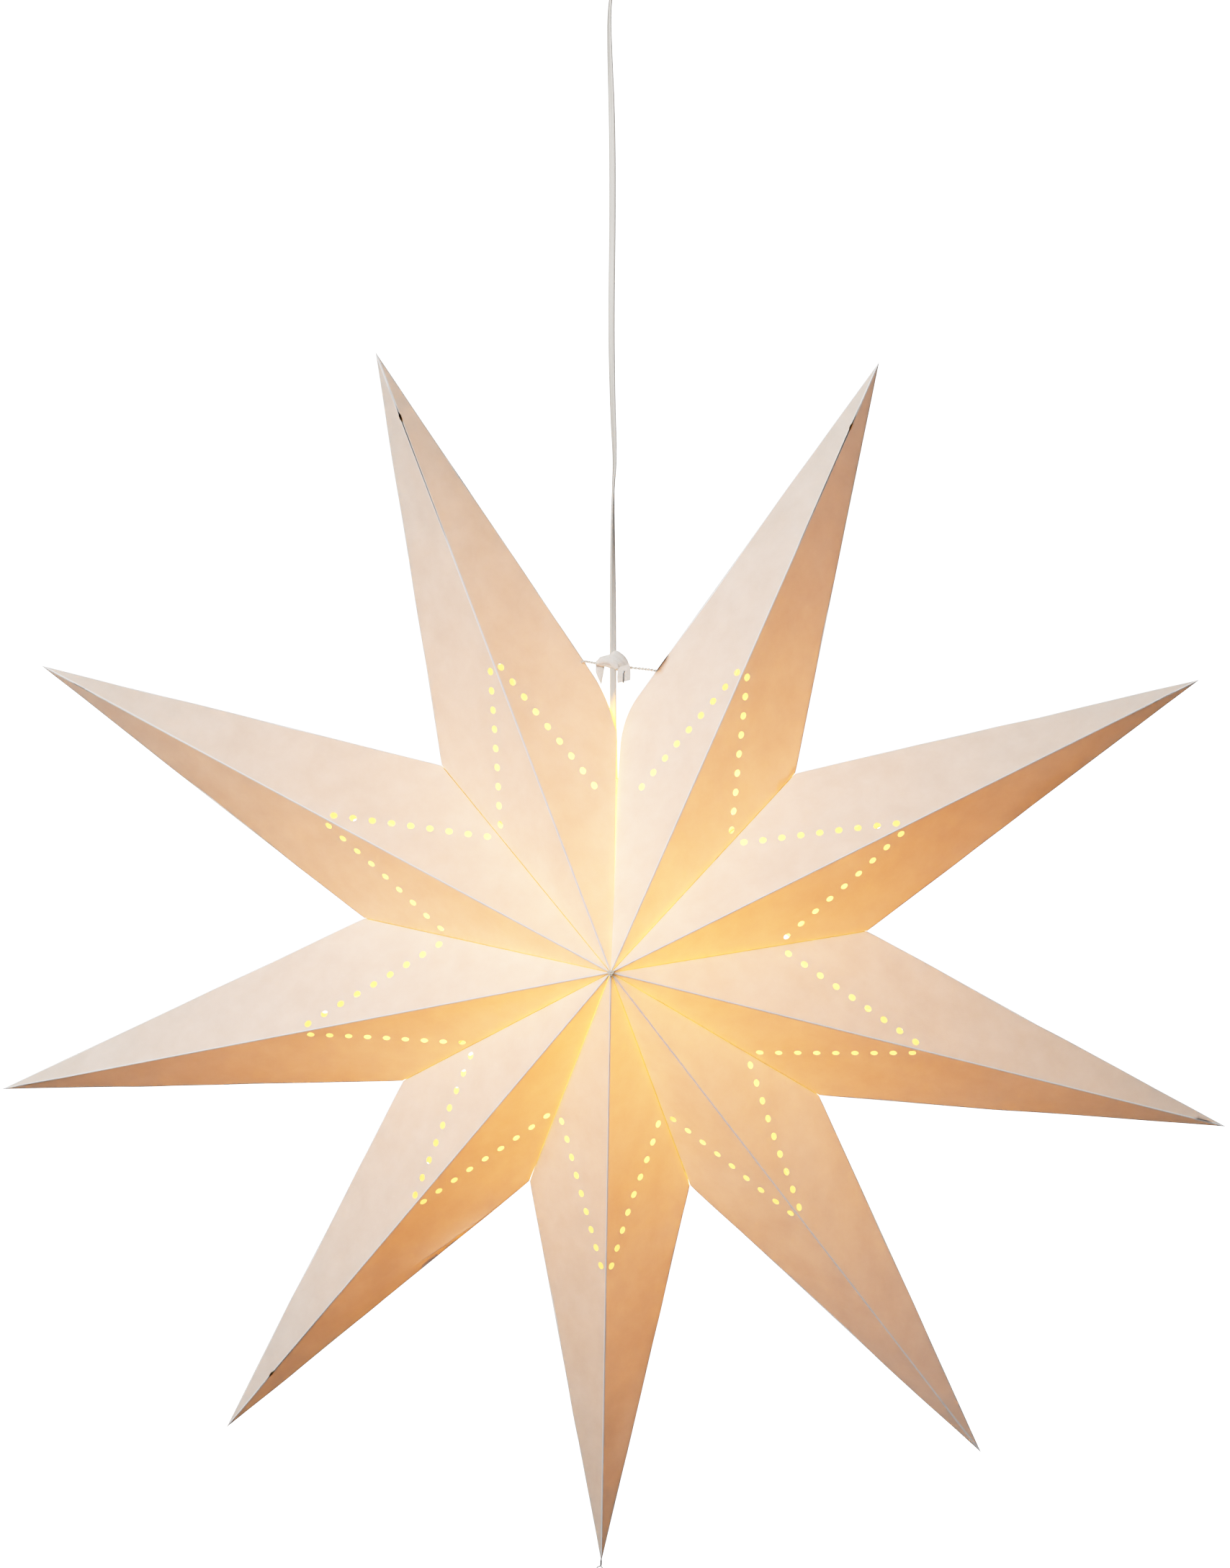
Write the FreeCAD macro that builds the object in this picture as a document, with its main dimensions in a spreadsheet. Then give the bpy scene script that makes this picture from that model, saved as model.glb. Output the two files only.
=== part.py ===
"""Nine-pointed folded paper star on its flex, with lampholder, bulb and ceiling cup.

Millimetres, +Z up. The origin is the centre of the hanging eye that a ceiling hook takes. The star hangs
below it with its flat front towards -Y. Every length and angle that shapes the lamp is a cell of the sheet.
"""
import FreeCAD, Part
import math
import os
import Sketcher
from FreeCAD import Placement, Rotation, Vector

doc = FreeCAD.newDocument("paper_star_pendant")
sheet = doc.addObject("Spreadsheet::Sheet", "Sizes")

SIZES = [
    # the star: nine points round two poles, front and back
    ("tip_radius", 500.0, "centre of the star to each tip"),
    ("valley_radius", 198.5, "centre to the valleys between the points"),
    ("half_depth", 101.0, "middle plane to the front or back pole"),
    ("paper", 0.4, "thickness of the paper"),
    ("flap_width", 9.0, "glue flap turned in along each seam"),
    ("core_radius", 1.5, "radius left free of flaps round the axis of the poles"),
    ("star_drop", 800.0, "hanging eye to the centre of the star"),
    ("star_shift", 0.6, "centre of the star lies this far right of the flex"),
    # directions in the plane of the star, counted from +X towards +Z
    ("point_1_angle", 111.6, "upper left point, left of the opening"),
    ("point_2_angle", 66.1, "upper right point, right of the opening"),
    ("point_3_angle", 25.3, "right upper point"),
    ("point_4_angle", 343.9, "right lower point"),
    ("point_5_angle", 305.8, "lower right point"),
    ("point_6_angle", 268.75, "bottom point"),
    ("point_7_angle", 231.4, "lower left point"),
    ("point_8_angle", 193.3, "left lower point"),
    ("point_9_angle", 153.6, "left upper point"),
    ("seam_1_angle", 133.0, "seam between points 9 and 1"),
    ("seam_2_angle", 44.8, "seam between points 2 and 3"),
    ("seam_3_angle", 4.5, "seam between points 3 and 4"),
    ("seam_4_angle", 324.3, "seam between points 4 and 5"),
    ("seam_5_angle", 287.5, "seam between points 5 and 6"),
    ("seam_6_angle", 250.1, "seam between points 6 and 7"),
    ("seam_7_angle", 212.4, "seam between points 7 and 8"),
    ("seam_8_angle", 173.1, "seam between points 8 and 9"),
    ("fold_1_angle", 91.4, "direction in which the open side fold of point 1 runs in"),
    ("fold_2_angle", 85.2, "direction in which the open side fold of point 2 runs in"),
    ("edge_1_angle", 89.8, "free edge of point 1"),
    ("edge_2_angle", 88.3, "free edge of point 2"),
    # punched dots
    ("dot_diameter", 6.2, "punched dot"),
    ("dots_in_row", 9.0, "dots on a panel, besides the one on the fold"),
    ("ridge_dot_reach", 260.7, "pole to the dot on the ridge fold, along the fold"),
    ("seam_dot_reach", 131.6, "pole to beside the row's last dot, along the seam"),
    ("seam_dot_inset", 19.4, "last dot of the row in from the seam, along the ridge"),
    ("open_dot_reach", 117.1, "the same on the two open sides, along the side fold's line"),
    ("open_dot_inset", 33.2, "the same on the two open sides, along the ridge"),
    ("tie_hole_diameter", 3.6, "hole for the cotton tape near the rounded corner"),
    # flex and ceiling end
    ("flex_width", 5.2, "width of the white twin flex"),
    ("grip_bottom", 35.0, "eye to the underside of the cord grip"),
    ("bend_gap", 1.0, "free flex between the grip and the clamped stub"),
    ("eye_bore", 10.0, "bore of the hanging eye"),
    ("eye_outside", 17.0, "outside of the hanging eye"),
    ("eye_thickness", 4.0, "thickness of the hanging eye"),
    ("cup_radius", 46.0, "outside radius of the ceiling cup"),
    ("cup_wall", 1.8, "wall of the ceiling cup"),
    ("cup_rim", 20.0, "eye up to the rim of the cup"),
    ("cup_outlet", 50.0, "eye down to the outlet of the cup's neck"),
    # lampholder and bulb, drawn about the centre of the bulb's globe
    ("bulb_height", 21.0, "centre of the star up to the centre of the globe"),
    ("globe_radius", 22.5, "golf-ball bulb"),
    ("skirt_bottom", 23.0, "globe centre to the lampholder's lower edge"),
    ("skirt_top", 62.0, "globe centre to the joint of skirt and dome"),
    ("dome_top", 79.0, "globe centre to the top of the dome"),
    ("gland_top", 114.0, "globe centre to the top of the cord gland"),
    ("holder_radius", 14.0, "outside radius of the lampholder"),
    ("holder_wall", 1.6, "wall of the lampholder"),
    # cotton tape tie
    ("tie_height", 224.0, "centre of the star up to the tape tied round the flex"),
]
for row, (alias, value, meaning) in enumerate(SIZES, start=1):
    sheet.set(f"A{row}", meaning)
    sheet.set(f"B{row}", str(value))
    sheet.setAlias(f"B{row}", alias)
doc.recompute()

PLANES = {
    "XY": Rotation(),
    "XZ": Rotation(Vector(1, 0, 0), 90),
    "YZ": Rotation(Vector(1, 1, 1), 120),
}
parts = {}


def size(alias):
    """The number in a cell of the sheet."""
    return float(sheet.get(alias))


def cells(text):
    """Turns words such as @paper in an expression into references to the sheet."""
    return str(text).replace("@", "Sizes.")


def bind(obj, **expressions):
    """Binds properties of an object to expressions of the sheet's cells."""
    for name, text in expressions.items():
        obj.setExpression(name.replace("__", "."), cells(text))
    return obj


def fill_outline(sketch, corners):
    """Draws a closed outline through corners, each a pair of expressions, and pins every corner."""
    count = len(corners)
    for i in range(count):
        a, b = (2 * math.pi * j / count for j in (i, i + 1))
        start = Vector(math.cos(a), math.sin(a), 0) * 10
        end = Vector(math.cos(b), math.sin(b), 0) * 10
        sketch.addGeometry(Part.LineSegment(start, end), False)
    for i in range(count):
        sketch.addConstraint(Sketcher.Constraint("Coincident", i, 2, (i + 1) % count, 1))
    for i, (across, up) in enumerate(corners):
        for kind, text in (("DistanceX", across), ("DistanceY", up)):
            where = sketch.addConstraint(Sketcher.Constraint(kind, -1, 1, i, 1, 1.0))
            sketch.setExpression(f"Constraints[{where}]", cells(text))


def outline(name, plane, corners):
    """A pinned closed outline on a plane of the document."""
    sketch = doc.addObject("Sketcher::SketchObject", name)
    sketch.Placement = Placement(Vector(), PLANES[plane])
    fill_outline(sketch, corners)
    return sketch


def extrusion(name, base, forward, back="0", symmetric=False):
    """A solid along the outline's normal."""
    solid = doc.addObject("Part::Extrusion", name)
    solid.Base = base
    solid.DirMode = "Normal"
    solid.Solid = True
    solid.Symmetric = symmetric
    return bind(solid, LengthFwd=forward, LengthRev=back)


def boolean(kind, name, base, tool):
    """A Part::Cut, Part::Common or Part::Fuse of two objects."""
    result = doc.addObject(f"Part::{kind}", name)
    if kind == "MultiFuse":
        result.Shapes = [base, *tool]
    else:
        result.Base, result.Tool = base, tool
    return result


def solid_of(kind, name, at=(0, 0, 0), turn=None, **sizes):
    """A Part primitive with its sizes bound to the sheet and a fixed place in its own frame."""
    obj = doc.addObject(f"Part::{kind}", name)
    obj.Placement = Placement(Vector(*at), turn or Rotation())
    return bind(obj, **sizes)


def rod(name, sides, radius, height, at=(0, 0, 0), turn=None):
    """A small rod with flat sides: a screw, a wire or a thread."""
    obj = doc.addObject("Part::Prism", name)
    obj.Polygon = sides
    obj.Placement = Placement(Vector(*at), turn or Rotation())
    return bind(obj, Circumradius=radius, Height=height)


def number(text):
    """The value of an expression of the sheet's cells."""
    return float(sheet.evalExpression(cells(text)))


def band(name, sides, low, high):
    """One straight stretch of a many-sided solid between two rings, each (radius, height).

    Equal rings make a prism. Otherwise the wider ring is lofted to the point where the sides would meet,
    and a box cuts it off at the narrower ring, so every side is a plane.
    """
    (low_radius, low_height), (high_radius, high_height) = low, high
    at_low, at_high = number(low_radius), number(high_radius)
    if at_low == at_high:
        prism = rod(name, sides, low_radius, f"({high_height}) - ({low_height})")
        return bind(prism, Placement__Base__z=low_height)
    upward = at_low > at_high
    wide_radius, wide_height = low if upward else high
    ring = doc.addObject("Part::RegularPolygon", name + "_ring")
    ring.Polygon = sides
    bind(ring, Circumradius=wide_radius, Placement__Base__z=wide_height)
    meeting = (f"({low_height}) + ({low_radius}) * (({high_height}) - ({low_height}))"
               f" / (({low_radius}) - ({high_radius}))")
    apex = bind(doc.addObject("Part::Vertex", name + "_apex"), Z=meeting)
    cone = doc.addObject("Part::Loft", name + "_cone")
    cone.Sections = [ring, apex]
    cone.Solid = True
    cone.Ruled = True
    if min(at_low, at_high) == 0:
        return cone
    span, corner = f"3 * ({wide_radius})", f"-1.5 * ({wide_radius})"
    box = bind(doc.addObject("Part::Box", name + "_box"), Length=span, Width=span, Height="900",
               Placement__Base__x=corner, Placement__Base__y=corner,
               Placement__Base__z=high_height if upward else f"({low_height}) - 900")
    return boolean("Cut", name + "_cut", cone, box)


def many_sided(name, sides, rings):
    """A solid of straight stretches through rings from the bottom up, each (radius, height)."""
    bands = [band(f"{name}_band", sides, low, high) for low, high in zip(rings, rings[1:])]
    return boolean("MultiFuse", name, bands[0], bands[1:]) if len(bands) > 1 else bands[0]


def pair(name, first, second):
    """Two like solids as one piece."""
    both = doc.addObject("Part::Compound", name)
    both.Links = [first, second]
    return both


def keep(name, obj, x="0", z="0"):
    """Names a finished sub-part and sets it at its level below the eye."""
    obj.Label = name
    bind(obj, Placement__Base__x=x, Placement__Base__z=z)
    parts[name] = obj
    return obj


LAMP_LEVEL = "@bulb_height - @star_drop"
STAR_LEVEL = "-@star_drop"
STAR_SIDE = "@star_shift"

# ---------------------------------------------------------------- the nine paper points
# A point is one folded sheet: four flat panels from the poles and the valleys out to the tip. The planes
# of its panels make a pyramid over a kite; a second pyramid, smaller by the paper, hollows it, and the
# sector between two seam planes cuts it off. Flaps turned in along the seams are glued to the next point's.
SEAM_LENGTH = "sqrt(@valley_radius^2 + @half_depth^2)"
FLAP_AT_POLE = f"@flap_width * {SEAM_LENGTH} / @valley_radius"
FLAP_AT_VALLEY = f"@flap_width * {SEAM_LENGTH} / @half_depth"
CORE_DEPTH = "@half_depth * (1 - @core_radius / @valley_radius)"
flap_outline = outline("flap_outline", "XY", [
    ("@core_radius", f"-{CORE_DEPTH}"),
    ("@valley_radius", "0"),
    ("@core_radius", CORE_DEPTH),
    ("@core_radius", f"{CORE_DEPTH} - {FLAP_AT_POLE}"),
    (f"@valley_radius - {FLAP_AT_VALLEY}", "0"),
    ("@core_radius", f"-({CORE_DEPTH} - {FLAP_AT_POLE})"),
])


def kite_width(angle):
    """Half width of the panels' pyramid over the poles, for a valley at this angle from the point."""
    return f"(@valley_radius * sin({angle}) / (1 - @valley_radius * cos({angle}) / @tip_radius))"


def pyramid(name, left, right, scale):
    """The solid under four panel planes: a kite over the poles, lofted to the tip."""
    base = outline(name + "_kite", "YZ", [
        (f"-@half_depth * {scale}", "0"),
        ("0", f"{left} * {scale}"),
        (f"@half_depth * {scale}", "0"),
        ("0", f"-{right} * {scale}"),
    ])
    apex = bind(doc.addObject("Part::Vertex", name + "_apex"), X=f"@tip_radius * {scale}")
    loft = doc.addObject("Part::Loft", name)
    loft.Sections = [base, apex]
    loft.Solid = True
    loft.Ruled = True
    return loft


def six_sided(centre, along, radius, length):
    """A six-sided punch of a round dot's area, centred on the paper."""
    across = along.cross(Vector(1, 0, 0)).normalize()
    corner_radius = radius * math.sqrt(2 * math.pi / (3 * math.sqrt(3)))
    corners = []
    for i in range(7):
        turn = Rotation(along, 60 * i)
        corners.append(centre - along * (length / 2) + turn.multVec(across) * corner_radius)
    return Part.Face(Part.makePolygon(corners)).extrude(along * length)


def punches(left_angle, right_angle, left_open, right_open):
    """Every punched dot of one point: one on each ridge fold and a straight row on each panel."""
    depth, reach = size("half_depth"), size("tip_radius")
    radius, count = size("dot_diameter") / 2, int(size("dots_in_row"))
    tools = []
    for side in (-1, 1):
        pole = Vector(0, side * depth, 0)
        ridge = (Vector(reach, 0, 0) - pole).normalize()
        first = pole + ridge * size("ridge_dot_reach")
        tools.append(six_sided(first, Vector(0, 1, 0), radius, 4 * radius))
        for sideways, angle, is_open in ((1, left_angle, left_open), (-1, right_angle, right_open)):
            turn = math.radians(angle)
            valley = Vector(math.cos(turn), 0, sideways * math.sin(turn)) * size("valley_radius")
            seam = (valley - pole).normalize()
            side_name = "open" if is_open else "seam"
            last = pole + seam * size(side_name + "_dot_reach") + ridge * size(side_name + "_dot_inset")
            normal = ridge.cross(seam).normalize()
            for i in range(1, count + 1):
                centre = first + (last - first) * (i / count)
                tools.append(six_sided(centre, normal, radius, 2 * radius))
    return Part.makeCompound(tools)


def paper_point(number, left, right, open_left=None, open_right=None):
    """One folded point. left and right name the cells of its valleys, open_* the free edge's cell."""
    name = f"point_{number}"
    own = f"@{name}_angle"
    # differences of directions, kept between 0 and 360 degrees for the seam that passes +X
    to_left = f"(mod(@{left} - {own} + 360; 360))"
    to_right = f"(mod({own} - @{right} + 360; 360))"
    cut_left = f"(mod(@{open_left} - {own} + 360; 360))" if open_left else to_left
    cut_right = f"(mod({own} - @{open_right} + 360; 360))" if open_right else to_right
    wide_left, wide_right = kite_width(to_left), kite_width(to_right)
    hollow = "(1 - @paper * sqrt(1 / @half_depth^2 + 1 / @tip_radius^2 + 1 / (" + wide_left + ")^2))"
    outside = pyramid(name + "_outside", wide_left, wide_right, "1")
    inside = pyramid(name + "_inside", wide_left, wide_right, hollow)
    sector_outline = outline(name + "_sector_outline", "XZ", [
        ("0", "0"),
        (f"2 * @tip_radius * cos({cut_left})", f"2 * @tip_radius * sin({cut_left})"),
        (f"2 * @tip_radius * cos({cut_right})", f"-2 * @tip_radius * sin({cut_right})"),
    ])
    sector = extrusion(name + "_sector", sector_outline, "3 * @half_depth", symmetric=True)
    wedge = boolean("Common", name + "_wedge", outside, sector)
    shell = boolean("Cut", name + "_shell", wedge, inside)
    flaps = []
    if not open_left:
        flap = extrusion(name + "_left_flap", flap_outline, "0", back="@paper")
        flap.Placement.Rotation = Rotation(Vector(0, -1, 0), 10)
        flaps.append(bind(flap, Placement__Rotation__Angle=to_left))
    if not open_right:
        flap = extrusion(name + "_right_flap", flap_outline, "@paper")
        flap.Placement.Rotation = Rotation(Vector(0, 1, 0), 10)
        flaps.append(bind(flap, Placement__Rotation__Angle=to_right))
    folded = boolean("MultiFuse", name + "_folded", shell, flaps)
    punch = doc.addObject("Part::Feature", name + "_punch")
    turns = [(size(left) - size(name + "_angle")) % 360, (size(name + "_angle") - size(right)) % 360]
    punch.Shape = punches(*turns, bool(open_left), bool(open_right))
    return boolean("Cut", name + "_sheet", folded, punch)


def placed_point(number, sheet_solid):
    """Turns a finished point to its direction in the star."""
    sheet_solid.Placement.Rotation = Rotation(Vector(0, -1, 0), 10)
    bind(sheet_solid, Placement__Rotation__Angle=f"@point_{number}_angle")
    keep(f"point_{number}", sheet_solid, x=STAR_SIDE, z=STAR_LEVEL)


# The two points beside the opening at the top have a rounded corner and a hole for the tape. The cut is
# drawn in the plane of the star, from a point on the side fold, through the middle of the curve, to the
# free edge: (right, up) of the star's centre.
CORNERS = {
    1: {"fold": (-14.7, 213.0), "curve": (-7.4, 197.0), "edge": (0.6, 172.0), "beyond": (60.0, 300.0),
        "hole": (-26.7, 223.8)},
    2: {"fold": (19.9, 202.4), "curve": (10.9, 187.0), "edge": (4.9, 164.0), "beyond": (-60.0, 300.0),
        "hole": (35.0, 216.6)},
}


def rounded_corner(number, sheet_solid):
    """Rounds the corner beside the opening and punches the hole for the tape."""
    corner = CORNERS[number]
    fold, curve, edge, beyond = (Vector(x, 0, z) for x, z in (corner[k] for k in
                                                            ("fold", "curve", "edge", "beyond")))
    below = Vector(beyond.x, 0, edge.z)
    above = Vector(fold.x, 0, beyond.z)
    border = [Part.Arc(fold, curve, edge).toShape()]
    loop = [edge, below, beyond, above, fold]
    border += [Part.LineSegment(a, b).toShape() for a, b in zip(loop, loop[1:])]
    depth = Vector(0, 2 * size("half_depth"), 0)
    waste = Part.Face(Part.Wire(border)).translated(depth * -0.5).extrude(depth)
    hole = six_sided(Vector(corner["hole"][0], 0, corner["hole"][1]), Vector(0, 1, 0),
                     size("tie_hole_diameter") / 2, depth.y)
    tool = doc.addObject("Part::Feature", f"point_{number}_corner")
    tool.Shape = Part.makeCompound([waste, hole])
    # the tool is drawn in the star's frame, so it is turned back into the point's own
    tool.Placement = Placement(Vector(), Rotation(Vector(0, 1, 0), size(f"point_{number}_angle")))
    return boolean("Cut", f"point_{number}_rounded", sheet_solid, tool)


point_1 = paper_point(1, "seam_1_angle", "fold_1_angle", open_right="edge_1_angle")
point_2 = paper_point(2, "fold_2_angle", "seam_2_angle", open_left="edge_2_angle")
placed_point(1, rounded_corner(1, point_1))
placed_point(2, rounded_corner(2, point_2))
for n in range(3, 9):
    placed_point(n, paper_point(n, f"seam_{n - 1}_angle", f"seam_{n}_angle"))
placed_point(9, paper_point(9, "seam_8_angle", "seam_1_angle"))

# ---------------------------------------------------------------- knots at the poles
# A doubled thread draws the nine inner corners together and ends in a flat knot on each pole.
for name, angle, sign in (("front_knot", 90, "-"), ("back_knot", -90, "")):
    knot = rod(name + "_solid", 8, "2.6", "2.4", turn=Rotation(Vector(1, 0, 0), angle))
    bind(knot, Placement__Base__y=f"{sign}(@half_depth + 0.05)")
    keep(name, knot, x=STAR_SIDE, z=STAR_LEVEL)

# ---------------------------------------------------------------- thread loop in the bottom tip
tip_turn = "@point_6_angle"
flat = Rotation(Vector(1, 0, 0), 90)
loop_outside = rod("tip_loop_outside", 10, "3.5", "1.5", at=(0, 0.75, 0), turn=flat)
loop_inside = rod("tip_loop_inside", 10, "2.1", "3", at=(0, 1.5, 0), turn=flat)
loop_ring = boolean("Cut", "tip_loop_ring", loop_outside, loop_inside)
loop_tail = rod("tip_loop_tail", 6, "0.6", "6.8", at=(0, 0, -9.8))
tip_loop = boolean("Fuse", "tip_loop_solid", loop_ring, loop_tail)
keep("tip_thread", tip_loop, x=f"{STAR_SIDE} + @tip_radius * cos({tip_turn})",
     z=f"{STAR_LEVEL} + (@tip_radius + 3.6) * sin({tip_turn})")

# ---------------------------------------------------------------- cotton tape tie
# An 11 mm woven tape is laid over the flex, its two strands run to the holes in points 1 and 2, and its
# end hangs down on the right, folded and stapled.
TIE_LEVEL = "@tie_height - @star_drop"
arch = outline("tie_arch_outline", "XZ", [
    ("-13.5", "-3"), ("-12.5", "3"), ("-8.5", "7"), ("-2", "9.5"), ("1.5", "10"), ("7", "7.5"),
    ("11.5", "1"), ("12.8", "-4.5"), ("3.6", "-4.5"), ("-4", "-1.5"), ("-10", "-2"),
])
arch_solid = extrusion("tie_arch", arch, "9", symmetric=True)
arch_bore = rod("tie_arch_bore", 12, "@flex_width / 2 + 0.45", "60", at=(0, 0, -30))
keep("tie_band", boolean("Cut", "tie_arch_cut", arch_solid, arch_bore), z=TIE_LEVEL)
tail = solid_of("Box", "tie_tail_solid", at=(2.9, -4.5, -14.2), Length="10.5", Width="1.4", Height="9.7")
keep("tie_tail", tail, x="2.9", z=f"{TIE_LEVEL} - 14.2")
hanging = solid_of("Box", "tie_loop_solid", at=(-13.4, 2.2, -10), Length="4.6", Width="0.8", Height="7")
keep("tie_loop", hanging, x="-13.4", z=f"{TIE_LEVEL} - 10")
staple = solid_of("Box", "staple_crown", at=(0, 0, 0), Length="0.6", Width="0.4", Height="9.2")
staple.Placement.Base.y = -5.0
keep("tie_staple", staple, x="7.2", z=f"{TIE_LEVEL} - 13.9")


def strand(name, start, end):
    """A twisted strand of the tape between two places given from the centre of the star."""
    run = Vector(*end) - Vector(*start)
    solid = rod(name + "_solid", 8, "1.1", str(run.Length), turn=Rotation(Vector(0, 0, 1), run))
    keep(name, solid, x=str(start[0]), z=f"{start[2]} - @star_drop")


strand("strand_left", (-20.2, 0, 225.2), (-13.7, 0, 223.4))
strand("strand_right", (13.1, 0, 221.4), (30.9, 0, 220.2))

# ---------------------------------------------------------------- the bulb
# A frosted golf-ball bulb with a brass screw cap: globe and neck are one blown shell.
def on_globe(radius, angle):
    """A place on a circle round the centre of the globe, at an angle up from the horizontal."""
    return (f"({radius}) * cos({angle})", f"({radius}) * sin({angle})")


globe = many_sided("bulb_outside", 20, [
    ("0", "-@globe_radius"), *[on_globe("@globe_radius", a) for a in (-62, -34, -8, 18, 40)], ("7.2", "29"),
])
hollow = many_sided("bulb_inside", 12, [
    ("9", "-18.5"), ("@globe_radius - 2.4", "-9"), ("@globe_radius - 1.4", "0"), ("@globe_radius - 3", "9"),
    ("12.6", "17.5"), ("6.4", "29.5"),
])
keep("bulb_globe", boolean("Cut", "bulb_glass", globe, hollow), z=LAMP_LEVEL)
cap_outside = many_sided("bulb_cap_outside", 16, [
    ("7", "29.1"), ("6.8", "32"), ("6.8", "48.5"), ("4.4", "50.8"),
])
cap_inside = many_sided("bulb_cap_inside", 16, [("6.5", "29"), ("6.3", "47.8"), ("4.1", "50"), ("4.1", "51")])
keep("bulb_cap", boolean("Cut", "bulb_cap_solid", cap_outside, cap_inside), z=LAMP_LEVEL)
keep("cap_insulator", rod("cap_insulator_solid", 12, "4", "2.1", at=(0, 0, 50.3)), z=f"{LAMP_LEVEL} + 50.3")
keep("cap_contact", rod("cap_contact_solid", 12, "2.2", "1.5"), z=f"{LAMP_LEVEL} + 52.45")
stem = many_sided("stem_solid", 8, [("1.2", "1.5"), ("2.2", "18"), ("5.9", "28.5")])
keep("filament_stem", stem, z=LAMP_LEVEL)
coil = rod("filament_coil", 6, "0.7", "19", at=(-9.5, 0, -6), turn=Rotation(Vector(0, 1, 0), 90))
supports = []
for sign in (-1, 1):
    lean = Rotation(Vector(0, 0, 1), Vector(-sign * 7.9, 0, 7.1))
    supports.append(rod("filament_support", 6, "0.45", "10.6", at=(sign * 8.5, 0, -6), turn=lean))
keep("filament", boolean("MultiFuse", "filament_wires", coil, supports), z=LAMP_LEVEL)

# ---------------------------------------------------------------- the lampholder
# Small screw lampholder in white thermoplastic: skirt and dome screw together over a ceramic insert that
# carries the threaded shell, the middle contact and the two wire screws.
skirt_outside = rod("skirt_outside", 24, "@holder_radius", "@skirt_top - @skirt_bottom")
skirt_inside = rod("skirt_inside", 24, "@holder_radius - @holder_wall", "@skirt_top - @skirt_bottom + 2",
                   at=(0, 0, -1))
keep("holder_skirt", boolean("Cut", "holder_skirt_tube", skirt_outside, skirt_inside),
     z=f"{LAMP_LEVEL} + @skirt_bottom")
dome_outside = many_sided("dome_outside", 24, [
    ("@holder_radius", "@skirt_top + 0.05"), ("@holder_radius", "@skirt_top + 5"),
    ("@holder_radius - 5", "@dome_top"),
])
dome_inside = many_sided("dome_inside", 24, [
    ("@holder_radius - @holder_wall", "@skirt_top"), ("@holder_radius - @holder_wall", "@skirt_top + 4"),
    ("@holder_radius - 5 - @holder_wall", "@dome_top - @holder_wall"),
])
dome_hole = rod("dome_hole", 20, "5.05", "8", at=(0, 0, 74))
dome_tools = boolean("Fuse", "dome_tools", dome_inside, dome_hole)
keep("holder_dome", boolean("Cut", "dome_shell", dome_outside, dome_tools), z=LAMP_LEVEL)
block_outside = rod("insert_outside", 16, "@holder_radius - @holder_wall - 0.2", "5.4", at=(0, 0, 56.5))
block_boss = rod("insert_boss", 16, "9.6", "19", at=(0, 0, 38))
block_hollow = rod("insert_hollow", 16, "7.75", "18.6", at=(0, 0, 37.9))
block_bore = rod("insert_bore", 8, "1.9", "12", at=(0, 0, 55))
insert = boolean("Cut", "insert_cut", boolean("Fuse", "insert_raw", block_outside, block_boss),
                 boolean("Fuse", "insert_tools", block_hollow, block_bore))
keep("holder_insert", insert, z=LAMP_LEVEL)
shell_outside = rod("shell_outside", 16, "7.7", "22.4", at=(0, 0, 34))
shell_inside = rod("shell_inside", 16, "7.25", "24", at=(0, 0, 33))
keep("thread_shell", boolean("Cut", "shell_cut", shell_outside, shell_inside), z=LAMP_LEVEL)
keep("centre_contact", rod("centre_contact_solid", 8, "1.6", "8.6"), z=f"{LAMP_LEVEL} + 54.3")
keep("wire_screws", pair("wire_screw_pair", *[rod("wire_screw", 12, "1.8", "2.2", at=(s * 7.5, 0, 61.95))
                                             for s in (-1, 1)]), z=LAMP_LEVEL)
holder_pair = []
for sign in (-1, 1):
    run = Vector(-sign * 5.9, 0, 5.2)
    holder_pair.append(rod("holder_lead", 8, "0.8", str(run.Length), at=(sign * 7.3, 0, 65.0),
                           turn=Rotation(Vector(0, 0, 1), run)))
keep("holder_leads", pair("holder_lead_pair", *holder_pair), z=LAMP_LEVEL)
gland_outside = many_sided("gland_outside", 20, [
    ("7", "@dome_top + 0.05"), ("6.8", "@dome_top + 6"), ("5.4", "@dome_top + 7"), ("4.2", "@gland_top"),
])
gland_neck = rod("gland_neck", 20, "4.95", "5", at=(0, 0, 75.5))
gland_bore = rod("gland_bore", 20, "@flex_width / 2 + 0.15", "50", at=(0, 0, 70))
gland_raw = boolean("Fuse", "gland_raw", gland_outside, gland_neck)
keep("cord_gland", boolean("Cut", "gland_solid", gland_raw, gland_bore), z=LAMP_LEVEL)

# ---------------------------------------------------------------- the flex
# White twin flex, pulled straight by the star's weight. It bends just under the grip in the cup, where
# the pendant swings; the stub above the bend is clamped.
flex = doc.addObject("Part::Cylinder", "power_cord_solid")
bind(flex, Radius="@flex_width / 2",
     Height="@star_drop - @bulb_height - 73 - @grip_bottom - @bend_gap")
keep("power_cord", flex, z=f"{LAMP_LEVEL} + 73")
stub = rod("cord_stub_solid", 16, "@flex_width / 2", "@grip_bottom - 16.5")
keep("cord_stub", stub, z="-@grip_bottom")

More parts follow.
